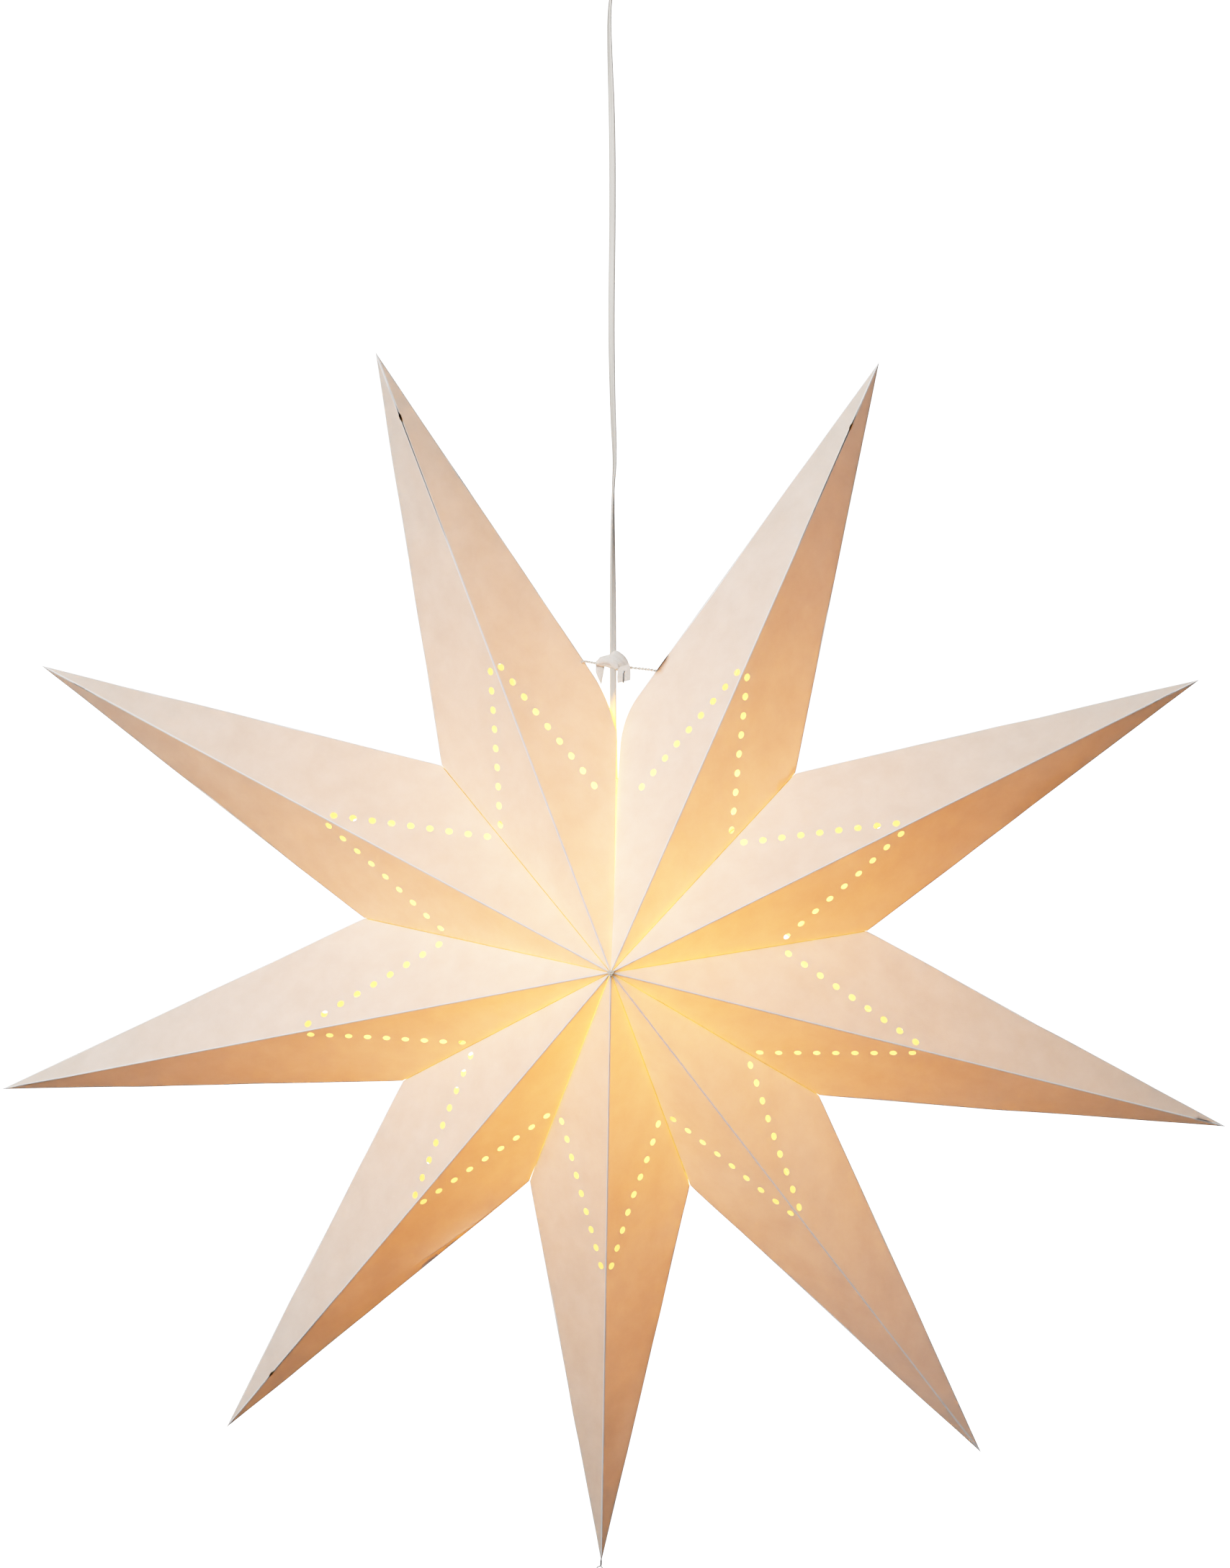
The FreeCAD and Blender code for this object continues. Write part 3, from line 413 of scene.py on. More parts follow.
def flat_panel(own, beside, front, number, is_open):
    """One flat panel from the pole to the tip, as places, triangles and distances to its folds.

    The panel's own plane has u along the ridge and v towards the side. Its outline, the dots and a lattice of
    places inside are joined by a constrained triangulation; triangles inside a dot are left out.
    """
    pole, tip = np.array([0, -DEPTH if front else DEPTH, 0.0]), TIP * heading(own)
    valley = VALLEY * heading(beside)
    ridge = (tip - pole) / np.linalg.norm(tip - pole)
    out = valley - pole - ridge * ((valley - pole) @ ridge)
    out /= np.linalg.norm(out)
    normal = np.cross(ridge, out)
    flat = np.array([(valley - pole) @ ridge, (valley - pole) @ out])
    seam = flat / np.linalg.norm(flat)
    reach = np.linalg.norm(tip - pole)

    def laid(x, z):
        """Where a place of the star's plane, seen from the front, lies on this panel."""
        y = pole[1] - (normal[0] * x + normal[2] * z) / normal[1]
        p = np.stack([x, y, z], -1) - pole
        return np.stack([p @ ridge, p @ out], -1)

    # The row of dots, evenly spaced: from the half dot cut at the ridge to the last one beside the seam.
    first = np.array([260.7, 0.0])
    last = seam * (117.1 if is_open else 131.6) + np.array([33.2 if is_open else 19.4, 0])
    centres = first + (last - first) * (np.arange(1, 10) / 9)[:, None]
    radii = np.full(9, DOT / 2)
    if is_open and not front:
        hole = np.array(CORNERS[number][3])
        centres, radii = np.r_[centres, [laid(*hole)]], np.r_[radii, 1.8]
    half = np.linspace(0, np.pi, 9)
    rim = first + np.stack([-np.cos(half), np.sin(half)], 1) * DOT / 2
    ridge_line = [along_line((0, 0), rim[0], STEP), rim, along_line(rim[-1], (reach, 0), STEP)[1:]]
    if is_open:
        arc = laid(*corner_arc(*CORNERS[number][:3]).T)
        side = laid(*free_edge(number, front).T)
        around = [*ridge_line, along_line((reach, 0), arc[0], STEP), arc, side[1:]]
    else:
        around = [*ridge_line, along_line((reach, 0), flat, STEP), along_line(flat, (0, 0), STEP)]
    outline = np.concatenate(around)
    turns = np.arange(16) / 16 * 2 * np.pi
    ring = np.stack([np.cos(turns), np.sin(turns)], 1)
    rings = centres[:, None] + ring * radii[:, None, None]
    # a ring of places round each dot keeps its triangles even
    dots = np.r_[centres, [first]]
    guards = dots[:, None] + ring * (np.r_[radii, DOT / 2] + 2.6)[:, None, None]
    # A staggered lattice, kept clear of the outline and of the dots. A place is inside the outline when a
    # line from it crosses the outline an odd number of times.
    u, v = np.meshgrid(np.arange(STEP / 2, reach, STEP), np.arange(3.5, flat[1] + 40, 7.0))
    lattice = np.stack([(u + STEP / 2 * (np.arange(len(v))[:, None] % 2)).ravel(), v.ravel()], 1)
    inner = np.r_[lattice, guards.reshape(-1, 2)]
    start, end = outline, np.roll(outline, -1, axis=0)
    step = end - start
    share = np.clip(((inner[:, None] - start) * step).sum(-1) / (step ** 2).sum(-1), 0, 1)
    gap = np.linalg.norm(inner[:, None] - start - share[..., None] * step, axis=-1).min(1)
    crossing = (start[:, 1] > inner[:, None, 1]) != (end[:, 1] > inner[:, None, 1])
    rise = np.where(step[:, 1] == 0, 1e-9, step[:, 1])
    at = start[:, 0] + (inner[:, None, 1] - start[:, 1]) * step[:, 0] / rise
    inside = (crossing & (inner[:, None, 0] < at)).sum(1) % 2 == 1
    away = np.linalg.norm(inner[:, None] - dots, axis=-1).min(1)
    kept = inside & (gap > 2.2) & ((away > 7.5) | (np.arange(len(inner)) >= len(lattice))) & (away > 4.0)
    flats = np.r_[outline, rings.reshape(-1, 2), inner[kept]]
    n, m = len(outline), len(rings) * 16
    i = np.arange(m)
    edges = np.r_[np.stack([np.arange(n), (np.arange(n) + 1) % n], 1),
                  n + np.stack([i, i // 16 * 16 + (i + 1) % 16], 1)]
    curled = number == 7 and front and beside > own
    if curled:  # a wrinkle beside the side fold, as three lines that the triangles keep to
        fold_way = ([reach, 0] - flat) / np.linalg.norm([reach, 0] - flat)
        inwards = np.array([fold_way[1], -fold_way[0]])
        inwards *= np.sign(inwards @ (-flat))
        run = np.linalg.norm([reach, 0] - flat)
        rows = [flat + fold_way * (run * CURL[:, :1]) + inwards * (CURL[:, 1:2] + off)
                for off in (-1.3, 0.0, 1.3)]
        flats = flats[(np.linalg.norm(flats[:, None] - np.concatenate(rows), axis=-1).min(1) > 2.0)
                      | (np.arange(len(flats)) < n + m)]
        for row in rows:
            k = len(flats)
            flats = np.r_[flats, row]
            edges = np.r_[edges, np.stack([np.arange(k, k + len(row) - 1), np.arange(k + 1, k + len(row))], 1)]
    spots, _, faces, *_ = delaunay_2d_cdt([Vector(p) for p in flats], edges.tolist(), [], 1, 1e-6, False)
    spots, faces = np.array(spots, float), np.array([f for f in faces if len(f) == 3])
    middles = spots[faces].mean(1)
    in_dot = (np.linalg.norm(middles[:, None] - centres, axis=-1) < radii * 0.97).any(1)
    faces = faces[~in_dot]
    # Distances to the ridge, the seam and the side fold. A free side's edge gets the seam's painted glow, or less
    # of it.
    fold = flat - [reach, 0]
    fold /= np.linalg.norm(fold)
    to_ridge = spots[:, 1]
    to_seam = np.abs(spots[:, 0] * seam[1] - spots[:, 1] * seam[0])
    to_side = np.abs((spots[:, 0] - reach) * fold[1] - spots[:, 1] * fold[0])
    if is_open:
        edge = side[0] / np.linalg.norm(side[0])
        to_seam = np.abs(spots[:, 0] * edge[1] - spots[:, 1] * edge[0]) + (0.3 if number == 1 else 8.0)
    # The sheet sags a little between its creases, and its side fold isn't quite straight.
    held = soft_step(to_ridge / 22) * soft_step(to_side / 16) * soft_step(to_seam / 22)
    lift = 0.9 * waviness(spots, number * 10 + front * 3 + (beside > own)) * held
    if curled:
        s = (spots - flat) @ fold_way / run
        line = np.interp(s, CURL[:, 0], CURL[:, 1])
        crest = np.interp(s, CURL[:, 0], CURL[:, 2], left=0, right=0)
        tent = np.where(to_side < line, to_side / line, 1 - np.clip((to_side - line) / 14, 0, 1) ** 0.7)
        lift += crest * tent
        to_side = np.where(crest > 0.3, np.minimum(to_side, np.abs(to_side - line) + 0.55), to_side)
    places = pole + spots[:, :1] * ridge + spots[:, 1:] * out
    outwards = normal if normal[1] * pole[1] > 0 else -normal
    places += lift[:, None] * outwards
    fold_line = (valley - tip) / np.linalg.norm(valley - tip)
    square = np.array([-fold_line[2], 0, fold_line[0]])
    t = ((places - tip) @ fold_line) / np.linalg.norm(valley - tip)
    wave = waviness(np.stack([t * 240, 0 * t], 1), number * 7 + (beside > own), (160, 90, 45), (1, 0.6, 0.35))
    sway = 0.8 * wave * np.sin(np.pi * np.clip(t, 0, 1)) * (1 - soft_step(to_side / 20))
    places += sway[:, None] * square
    if not is_open:
        places[to_seam < 1e-4] += 0.25 * own_side(own, beside)
    corner = spots[faces]
    area = np.cross(corner[:, 1] - corner[:, 0], corner[:, 2] - corner[:, 0])
    if (np.median(area) > 0) != (normal @ outwards > 0):
        faces = faces[:, ::-1]
    # A choice for the look, painted light: the panels turned down and right, away from the key light, let more
    # light through, and so do the tips, standing in for light bounced inside the star.
    facing_key_light = np.array([outwards[0], -abs(outwards[1]), outwards[2]]) @ [-0.37, -0.82, 0.43]
    through = (1.72 - 1.1 * max(0.0, facing_key_light)) * (0.92 + 0.32 * np.clip(spots[:, 0] / reach, 0, 1))
    return places, faces, np.stack([to_ridge, to_seam, to_side, through], 1)


def own_side(own, beside):
    """Square to a seam's plane, towards the point that the sheet belongs to."""
    square = np.cross([0.0, 1.0, 0.0], heading(beside))
    return square if square @ heading(own) > 0 else -square


def glue_flap(own, beside):
    """The two flaps along one seam, front and back, as grids across the seam's plane from fold to cut edge."""
    length = math.hypot(VALLEY, DEPTH)
    c, s = VALLEY / length, DEPTH / length
    steps = round(length / STEP)
    share = np.arange(steps + 1) / steps
    sides = []
    for sign in (-1, 1):
        outer = np.stack([share * VALLEY, sign * DEPTH * (1 - share)], 1)
        start, end = (1.5 + FLAP * s) / c, (DEPTH - FLAP * c) / s
        run = start + (end - start) * share
        inner = np.stack([run * c - FLAP * s, sign * (DEPTH - run * s - FLAP * c)], 1)
        w = np.linspace(0, 1, 3)[:, None]
        grid = outer[:, None] * (1 - w) + inner[:, None] * w
        sides.append(grid.reshape(-1, 2))
    flat = np.concatenate(sides)
    places = flat[:, :1] * heading(beside) + flat[:, 1:] * [0, 1, 0] + 0.25 * own_side(own, beside)
    quads = grid_faces(len(share), 3)
    faces = np.r_[quads, quads[:, ::-1] + len(share) * 3]
    a, b, d = (places[faces[:, k]] for k in (0, 1, 3))
    turned = np.cross(b - a, d - a) @ own_side(own, beside) > 0
    faces[turned] = faces[turned][:, ::-1]
    far = np.tile(np.tile([0.0, FLAP / 2, FLAP], len(share)), 2)
    return places, faces, np.stack([far + 30, far + 3, far + 30, np.ones(len(far))], 1)


def folded_point(number, own, left, right, left_open=False, right_open=False):
    """A whole point: four panels and its glued flaps, joined at the creases and given the paper's thickness."""
    sides = ((left, left_open), (right, right_open))
    parts = [flat_panel(own, beside, front, number, is_open) for front in (True, False)
             for beside, is_open in sides]
    parts += [glue_flap(own, beside) for beside, is_open in sides if not is_open]
    counts = np.cumsum([0] + [len(p[0]) for p in parts])
    places = np.concatenate([p[0] for p in parts])
    distances = np.concatenate([p[2] for p in parts])
    faces = [f for (p, start) in zip(parts, counts) for f in (p[1] + start).tolist()]
    mesh = bpy.data.meshes.new(f"point_{number}_sheet")
    mesh.from_pydata((places / 1000 + [0.0006, 0, -0.8]).tolist(), [], faces)
    corners = np.zeros(len(mesh.loops), np.int32)
    mesh.loops.foreach_get("vertex_index", corners)
    for name, columns in (("folds", slice(0, 2)), ("edges", slice(2, 4))):
        layer = mesh.uv_layers.new(name=name)
        layer.data.foreach_set("uv", distances[corners, columns].astype(np.float32).ravel())
    work = bmesh.new()
    work.from_mesh(mesh)
    bmesh.ops.remove_doubles(work, verts=work.verts, dist=4e-5)
    work.to_mesh(mesh)
    work.free()
    mesh.shade_smooth()
    for material in (paper_outside, paper_inside, paper_edge):
        mesh.materials.append(material)
    sheet = placed(f"paper_point_{number}", mesh)
    wall = sheet.modifiers.new("paper", "SOLIDIFY")
    wall.thickness, wall.offset = PAPER / 1000, -1.0
    wall.material_offset, wall.material_offset_rim = 1, 2
    solid = bpy.data.meshes.new_from_object(sheet.evaluated_get(bpy.context.evaluated_depsgraph_get()))
    solid.set_sharp_from_angle(angle=math.radians(14))
    sheet.modifiers.clear()
    sheet.data = solid
    bpy.data.meshes.remove(mesh)
    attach(sheet, "star")
    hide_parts(f"point_{number}")
    return sheet


# The direction of each point, and of the seams or the free side folds beside it, left and right of it as
# seen when it points up, in degrees from +X towards +Z. Points 1 and 2 stand beside the opening at the top.
TIPS = [111.6, 66.1, 25.3, 343.9, 305.8, 268.75, 231.4, 193.3, 153.6]
SEAMS = [133.0, 44.8, 4.5, 324.3, 287.5, 250.1, 212.4, 173.1]
points = [folded_point(1, TIPS[0], SEAMS[0], 91.4, right_open=True),
          folded_point(2, TIPS[1], 85.2, SEAMS[1], left_open=True)]
points += [folded_point(n, TIPS[n - 1], SEAMS[n - 2], SEAMS[n - 1]) for n in range(3, 9)]
points.append(folded_point(9, TIPS[8], SEAMS[7], SEAMS[0]))

# ---------------------------------------------------------------------------------- lampholder
# Small-screw lampholder in white thermoplastic: a skirt that screws into a dome, and a ribbed gland that
# grips the flex. Inside sit a steatite insert, the brass thread shell, the contact and two wire screws.
LAMP = -0.779  # level of the middle of the bulb's globe


def rounded(corners, steps=6):
    """A polyline with its corners rounded: each (radius, height, rounding) becomes a small parabola arc.

    The arc leaves the corner's two sides at the rounding's distance: (1-t)^2 A + 2t(1-t) corner + t^2 B.
    """
    c = np.array(corners, float)
    here, before, after = c[:, :2], np.roll(c[:, :2], 1, axis=0), np.roll(c[:, :2], -1, axis=0)
    def toward(other):
        way = other - here
        length = np.linalg.norm(way, axis=1, keepdims=True)
        return here + way / length * np.minimum(c[:, 2:], length * 0.48)
    a, b, t = toward(before)[:, None], toward(after)[:, None], np.linspace(0, 1, steps)[:, None]
    return ((1 - t) ** 2 * a + 2 * t * (1 - t) * here[:, None] + t ** 2 * b).reshape(-1, 2)


def face_outwards(made, merge=0.0):
    """Turns a closed piece's faces outwards, once places closer together than merge are joined."""
    work = bmesh.new()
    work.from_mesh(made.data)
    if merge:
        bmesh.ops.remove_doubles(work, verts=work.verts, dist=merge)
    bmesh.ops.recalc_face_normals(work, faces=work.faces)
    work.to_mesh(made.data)
    work.free()


def turned(name, profile, material, level=0.0, count=96, closed=True, ripple=None, sharp=32.0):
    """A body of revolution about the pendant's axis: (radius, height) in millimetres, in rows, times the angle.

    ripple(angle, height) is added to the radius. An open profile starts and ends on the axis.
    """
    profile = np.asarray(profile, float)
    angle = np.arange(count) / count * 2 * np.pi
    radius = np.repeat(profile[:, :1], count, axis=1)
    if ripple is not None:
        radius = radius + ripple(angle[None, :], profile[:, 1:]) * (radius > 1e-6)
    height = np.repeat(profile[:, 1:], count, axis=1)
    points = np.stack([radius * np.cos(angle), radius * np.sin(angle), height], -1).reshape(-1, 3) / 1000
    points[:, 2] += level
    faces = grid_faces(len(profile), count, around=True, along=closed)
    made = piece_of(name, points, faces, material, sharp=sharp)
    face_outwards(made, merge=1e-7)
    made.data.set_sharp_from_angle(angle=math.radians(sharp))
    return made


# Moulded thermoplastic (PBT): satin, with the fine pitted skin that a spark-eroded mould leaves.
white_pbt, tree = finish_of("moulded_white_pbt")
flow = noise(tree, 60.0, 3.0, Distortion=0.6)
skin(tree, between(tree, flow, "E9E8E3", "F2F1ED"), noise(tree, 1500.0, 2.0), 0.3, 0.00004,
     {"Roughness": spread(tree, flow, 0.4, 0.5), "IOR": 1.55,
      "Subsurface Weight": 0.1, "Subsurface Scale": 0.002})


def soft_fade(z, low, high):
    """1 between two heights and 0 outside them, fading over 1.5 mm."""
    return np.clip((z - low) / 1.5, 0, 1) * np.clip((high - z) / 1.5, 0, 1)


skirt_profile = rounded([(14, 23, 0.6), (14, 42, 0.3), (13.6, 42.4, 0.2), (13.6, 43.2, 0.2), (14, 43.6, 0.3),
                         (14, 45, 0.1), (14, 46.5, 0.1), (14, 58.5, 0.1), (14, 60, 0.1), (14, 62, 0.5),
                         (12.4, 62, 0.3), (12.4, 23, 0.5)])
skirt = turned("holder_skirt_shell", skirt_profile, white_pbt, LAMP, count=144,
               ripple=lambda a, z: -0.4 * (0.5 + 0.5 * np.cos(36 * a)) ** 2 * soft_fade(z, 45, 60))
dome_profile = rounded([(14, 62.05, 0.4), (14, 67, 5), (9, 79, 2.2), (5.05, 79, 0.2),
                        (5.05, 77.4, 0.2), (8, 77, 2), (12.3, 66.5, 4), (12.3, 62.05, 0.2)])
dome = turned("holder_dome_shell", dome_profile, white_pbt, LAMP)
ribs = np.linspace(87.5, 113.5, 53)
gland_side = np.stack([np.interp(ribs, [86, 114], [5.3, 4.2]) - 0.35 * (np.arange(53) % 4 > 1), ribs], 1)
gland = turned("gland_sleeve", np.r_[rounded([(2.75, 79.05, 0.2), (7, 79.05, 0.5), (6.8, 85, 0.6)]),
                                     gland_side, [(4.0, 114.0), (2.75, 114.0)]], white_pbt, LAMP, sharp=50)
for piece, node in ((skirt, "holder_skirt"), (dome, "holder_dome"), (gland, "cord_gland")):
    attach(piece, "flex")
    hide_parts(node)

# Steatite: a dense pressed ceramic, cream white with a faint glaze and fine dark specks.
steatite, tree = finish_of("pressed_steatite")
specks = add(tree, "TexVoronoi", {"Vector": (add(tree, "TexCoord"), "Object"), "Scale": 900.0})
speck = add(tree, "MapRange", {"Value": specks, "From Min": 0.05, "From Max": 0.12, "To Min": 0.4,
                               "To Max": 0.0})
body = noise(tree, 300.0, 4.0)
tint = srgb_mix(tree, speck, between(tree, body, "DDD6C8", "EFEADF", (0.3, 0.75)), linear("8A8378"))
skin(tree, tint, body, 0.3, 0.00008,
     {"Roughness": 0.45, "IOR": 1.6, "Coat Weight": 0.25, "Coat Roughness": 0.2})

# Drawn and rolled brass: warm metal with fine lines round it and a few dull, darker stains.
drawn_brass, tree = finish_of("drawn_brass")
turning = noise(tree, (200, 200, 5200), 3.0)
stain = noise(tree, 160.0, 4.0, Roughness=0.6)
skin(tree, between(tree, stain, "B99546", "E0C27A", (0.35, 0.65)), turning, 0.15, 0.00005,
     {"Metallic": 1.0, "Roughness": spread(tree, turning, 0.18, 0.38)})

# Zinc-plated steel: cool grey metal with a crystalline bloom and fine scratches.
zinc_steel, tree = finish_of("zinc_plated_steel")
bloom = add(tree, "TexVoronoi", {"Vector": (add(tree, "TexCoord"), "Object"), "Scale": 1400.0})
scratch = noise(tree, (3000, 500, 500), 2.0)
skin(tree, between(tree, bloom, "B9BDC0", "D6D9DA", (0.0, 0.6)), scratch, 0.15, 0.00004,
     {"Metallic": 1.0, "Roughness": spread(tree, scratch, 0.22, 0.42)})


def finished(material, *names):
    """Gives CAD nodes whose shape stays a material."""
    for name in names:
        nodes[name].data.materials.clear()
        nodes[name].data.materials.append(material)


finished(steatite, "holder_insert")
finished(drawn_brass, "thread_shell", "centre_contact")
finished(zinc_steel, "wire_screws")

# The flex's two cores, stripped of the outer skin, run from the gland to the wire screws.
core_pvc, tree = finish_of("core_insulation_pvc")
skinned = noise(tree, 420.0, 3.0)
skin(tree, between(tree, skinned, "D9D7D2", "EFEDE8"), skinned, 0.2, 0.00006, {"Roughness": 0.35, "IOR": 1.53})


def oval(wide, thick, count):
    """An oval section, from half its width and half its thickness."""
    angle = np.arange(count) / count * 2 * np.pi
    return np.stack([wide * np.cos(angle), thick * np.sin(angle)], 1)


def cores(name, routes, **settings):
    """One piece of two insulated cores, each a round section carried along the NURBS line of its route."""
    first, second = (swept(name + side, spline_places(name + side, np.array(route, float), 8),
                           oval(0.0008, 0.0008, 14), core_pvc, **settings)
                     for side, route in zip(("", "_b"), routes))
    both = bmesh.new()
    both.from_mesh(first.data)
    both.from_mesh(second.data)
    both.to_mesh(first.data)
    both.free()
    bpy.data.objects.remove(second)
    return first


holder_cores = cores("holder_cores", [[(s * 0.0073, 0, LAMP + 0.0652), (s * 0.0071, 0, LAMP + 0.0668),
                                       (s * 0.0046, s * 0.0006, LAMP + 0.0684), (s * 0.0022, 0, LAMP + 0.0690),
                                       (s * 0.0012, 0, LAMP + 0.0704)] for s in (-1, 1)], sideways=(0, 1, 0))
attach(holder_cores, "flex")
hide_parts("holder_leads")

# --------------------------------------------------------------------------------------------- bulb
# Frosted golf-ball bulb: one blown glass shell with a rolled brass screw cap cemented on, a glass stem and a
# coiled filament inside. It glows all over when it is lit.
lit_glass, tree = finish_of("frosted_lamp_glass")
warm = between(tree, noise(tree, 90.0, 3.0), "FFC88A", "FFD29A")
glass = add(tree, "BsdfPrincipled", {"Base Color": linear("F6F1E8"), "Roughness": 0.5, "IOR": 1.5,
                                     "Emission Color": warm, "Emission Strength": 14.0})
add(tree, "OutputMaterial", {"Surface": glass})
a = np.radians(np.linspace(-90, 55, 42))
ball = np.stack([22.5 * np.cos(a) * (np.arange(42) > 0), 22.5 * np.sin(a)], 1)
t = np.linspace(0, 1, 12)[1:, None]
neck = (1 - t) ** 2 * ball[-1] + 2 * t * (1 - t) * np.array([7.2, 22.4]) + t ** 2 * np.array([7.2, 28.9])
globe = turned("bulb_glass", np.r_[ball, neck, [(0.0, 28.9)]], lit_glass, LAMP, count=64, closed=False)
thread_rows = np.linspace(32.5, 47.0, 70)
cap_profile = np.r_[[(0.0, 29.1), (7.05, 29.1)],
                    rounded([(7.05, 29.3, 0.1), (7.0, 31.0, 0.5), (6.55, 32.0, 0.4)]),
                    np.stack([np.full(70, 6.52), thread_rows], 1),
                    rounded([(6.6, 48.4, 0.6), (4.4, 50.3, 0.3), (4.3, 50.8, 0.1)])[1:], [(0.0, 50.8)]]
cap = turned("bulb_screw_cap", cap_profile, drawn_brass, LAMP, count=64, closed=False, sharp=60,
             ripple=lambda a, z: 0.36 * np.sin(2 * np.pi * z / 2.82 - a) * soft_fade(z, 32.6, 47.0))
for piece, node, slot in ((globe, "bulb_globe", "frosted_glass"), (cap, "bulb_cap", "brass")):
    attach(piece, "bulb")
    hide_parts(node)
# Black vitrite glass: the poured insulator that holds the end contact, glossy with small pits.
vitrite, tree = finish_of("black_vitrite_glass")
pits = noise(tree, 900.0, 3.0)
skin(tree, between(tree, pits, "15120F", "2A241E"), pits, 0.3, 0.0001, {"Roughness": 0.18, "IOR": 1.52})
# Lead-free stem glass: clear and slightly grey, with drawing streaks.
stem_glass, tree = finish_of("clear_stem_glass")
streak = noise(tree, (900, 900, 60), 2.0)
rough = spread(tree, streak, 0.02, 0.1)
clear = add(tree, "BsdfPrincipled", {"Base Color": between(tree, streak, "E8EEEE", "FFFFFF"),
                                     "Roughness": rough, "IOR": 1.5, "Transmission Weight": 0.9})
add(tree, "OutputMaterial", {"Surface": clear})
# Coiled tungsten: white hot when lit, dark grey metal at its cooler ends.
hot_tungsten, tree = finish_of("coiled_tungsten")
coil = add(tree, "TexWave", {"Vector": (add(tree, "TexCoord"), "Object"), "Scale": 900.0, "Distortion": 0.3})
heat = between(tree, coil, "FFB45E", "FFE9B8", (0.2, 0.8))
wire = add(tree, "BsdfPrincipled", {"Base Color": linear("6E6A66"), "Metallic": 1.0, "Roughness": 0.5,
                                    "Emission Color": heat, "Emission Strength": 8.0})
add(tree, "OutputMaterial", {"Surface": wire})
finished(vitrite, "cap_insulator")
finished(drawn_brass, "cap_contact")
finished(stem_glass, "filament_stem")
finished(hot_tungsten, "filament")


def inner_light(name, kind, colour, strength, near_share, place, size, lit):
    """A helper light inside the star that lights only some pieces and falls off more slowly than a real one.

    At d metres it is as strong as strength * (near_share / d + 1).
    """
    data = bpy.data.lights.new(name, kind)
    data.energy, data.color, data.shadow_soft_size, data.use_nodes = 1.0, colour, size, True
    tree = data.node_tree
    tree.nodes.clear()
    spread = add(tree, "LightFalloff", {"Strength": strength, "Smooth": 0.0})
    mixed = add(tree, "Math", {0: (spread, "Linear"), 1: near_share, 2: (spread, "Constant")},
                operation="MULTIPLY_ADD")
    add(tree, "OutputLight", {"Surface": add(tree, "Emission", {"Color": (1, 1, 1, 1), "Strength": mixed})})
    made = placed(name, data)
    made.location = place
    receivers = bpy.data.collections.new(name + "_receivers")
    for piece in lit:
        receivers.objects.link(piece)
    made.light_linking.receiver_collection = receivers
    return made


# The bulb's light as the white paper inside spreads it: it falls off slowly, and goes round the lampholder.
glow = inner_light("bulb_glow", "POINT", (1.0, 0.655, 0.13), 55.0, 0.15,
                   star_place + Vector((-0.012, 0.0, 0.010)), 0.03,
                   (*points, skirt, dome, gland, cap, holder_cores))
glow.visible_camera = False
for piece in (skirt, dome, gland, globe, cap, holder_cores, *(nodes[n] for n in (
        "holder_insert", "thread_shell", "centre_contact", "wire_screws", "cap_insulator", "cap_contact"))):
    piece.visible_shadow = False

# ---------------------------------------------------------------------------------- ceiling grip
# The pendant hangs by a moulded nylon grip: an eye for the ceiling hook over a block in which two screws
# press a saddle on the flex. A two-pole screw block beside it joins the cores to the supply.
# Nylon (PA66): a little translucent, silky, with flow marks and the fine pits of the mould.
nylon, tree = finish_of("moulded_nylon")
flow = noise(tree, 120.0, 4.0, Distortion=1.0)
skin(tree, between(tree, flow, "E6E3DA", "F3F1EA"), noise(tree, 1800.0, 1.0), 0.25, 0.00005,
     {"Roughness": 0.38, "IOR": 1.53, "Subsurface Weight": 0.25, "Subsurface Scale": 0.003})
finished(nylon, "cord_grip", "grip_saddle", "terminal_block")
finished(zinc_steel, "saddle_screws")
finished(drawn_brass, "terminal_screws")
stub_route = [(0, 0, z) for z in (-0.035, -0.029, -0.0225, -0.0165)]
stub_path = spline_places("stub_route", np.array(stub_route), 6)
stub = swept("flex_stub", stub_path, twin_section(np.full(len(stub_path), math.pi / 2)), flex_pvc)
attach(stub, "hanger")
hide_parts("cord_stub")
lamp_cores = cores("supply_cores", [[(0.0002, s * 0.0012, -0.0164), (-0.0012, s * 0.0014, -0.0154),
                                     (-0.0045, s * 0.0022, -0.0152), (-0.0085, s * 0.0029, -0.0150),
                                     (-0.0128, s * 0.0030, -0.0150)] for s in (-1, 1)], sideways=(0, 0, 1))
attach(lamp_cores, "hanger")
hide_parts("lamp_leads")

# ---------------------------------------------------------------------------------- ceiling cup
# A white moulded cup slides up the flex to the ceiling and covers the hook and the screw block. One wall
# of polypropylene, 1.8 mm thick, rounds into a short neck that holds on the flex.
# Polypropylene: satin, faintly waxy, with drag marks up the wall from the mould.
polypropylene, tree = finish_of("moulded_polypropylene")
drag = noise(tree, (700, 700, 25), 3.0)
skin(tree, between(tree, noise(tree, 28.0, 4.0), "ECEBE7", "F5F4F1"), drag, 0.2, 0.00004,
     {"Roughness": spread(tree, drag, 0.32, 0.46), "IOR": 1.49,
      "Subsurface Weight": 0.12, "Subsurface Scale": 0.002})
cup = turned("ceiling_cup_shell", rounded([
    (6, -50, 0.8), (6, -43.6, 3.2), (38, -38.6, 7), (46, -25, 7.5), (46, 14.0, 0.2), (45.5, 14.3, 0.2),
    (45.5, 15.0, 0.2), (46, 15.3, 0.2), (46, 20, 0.8), (44.2, 20, 0.5), (44.2, -24.4, 7), (36.8, -37, 6.5),
    (2.9, -42.1, 2.0), (2.9, -50, 0.5)], steps=9), polypropylene)
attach(cup, "cup")
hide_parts("ceiling_cup")

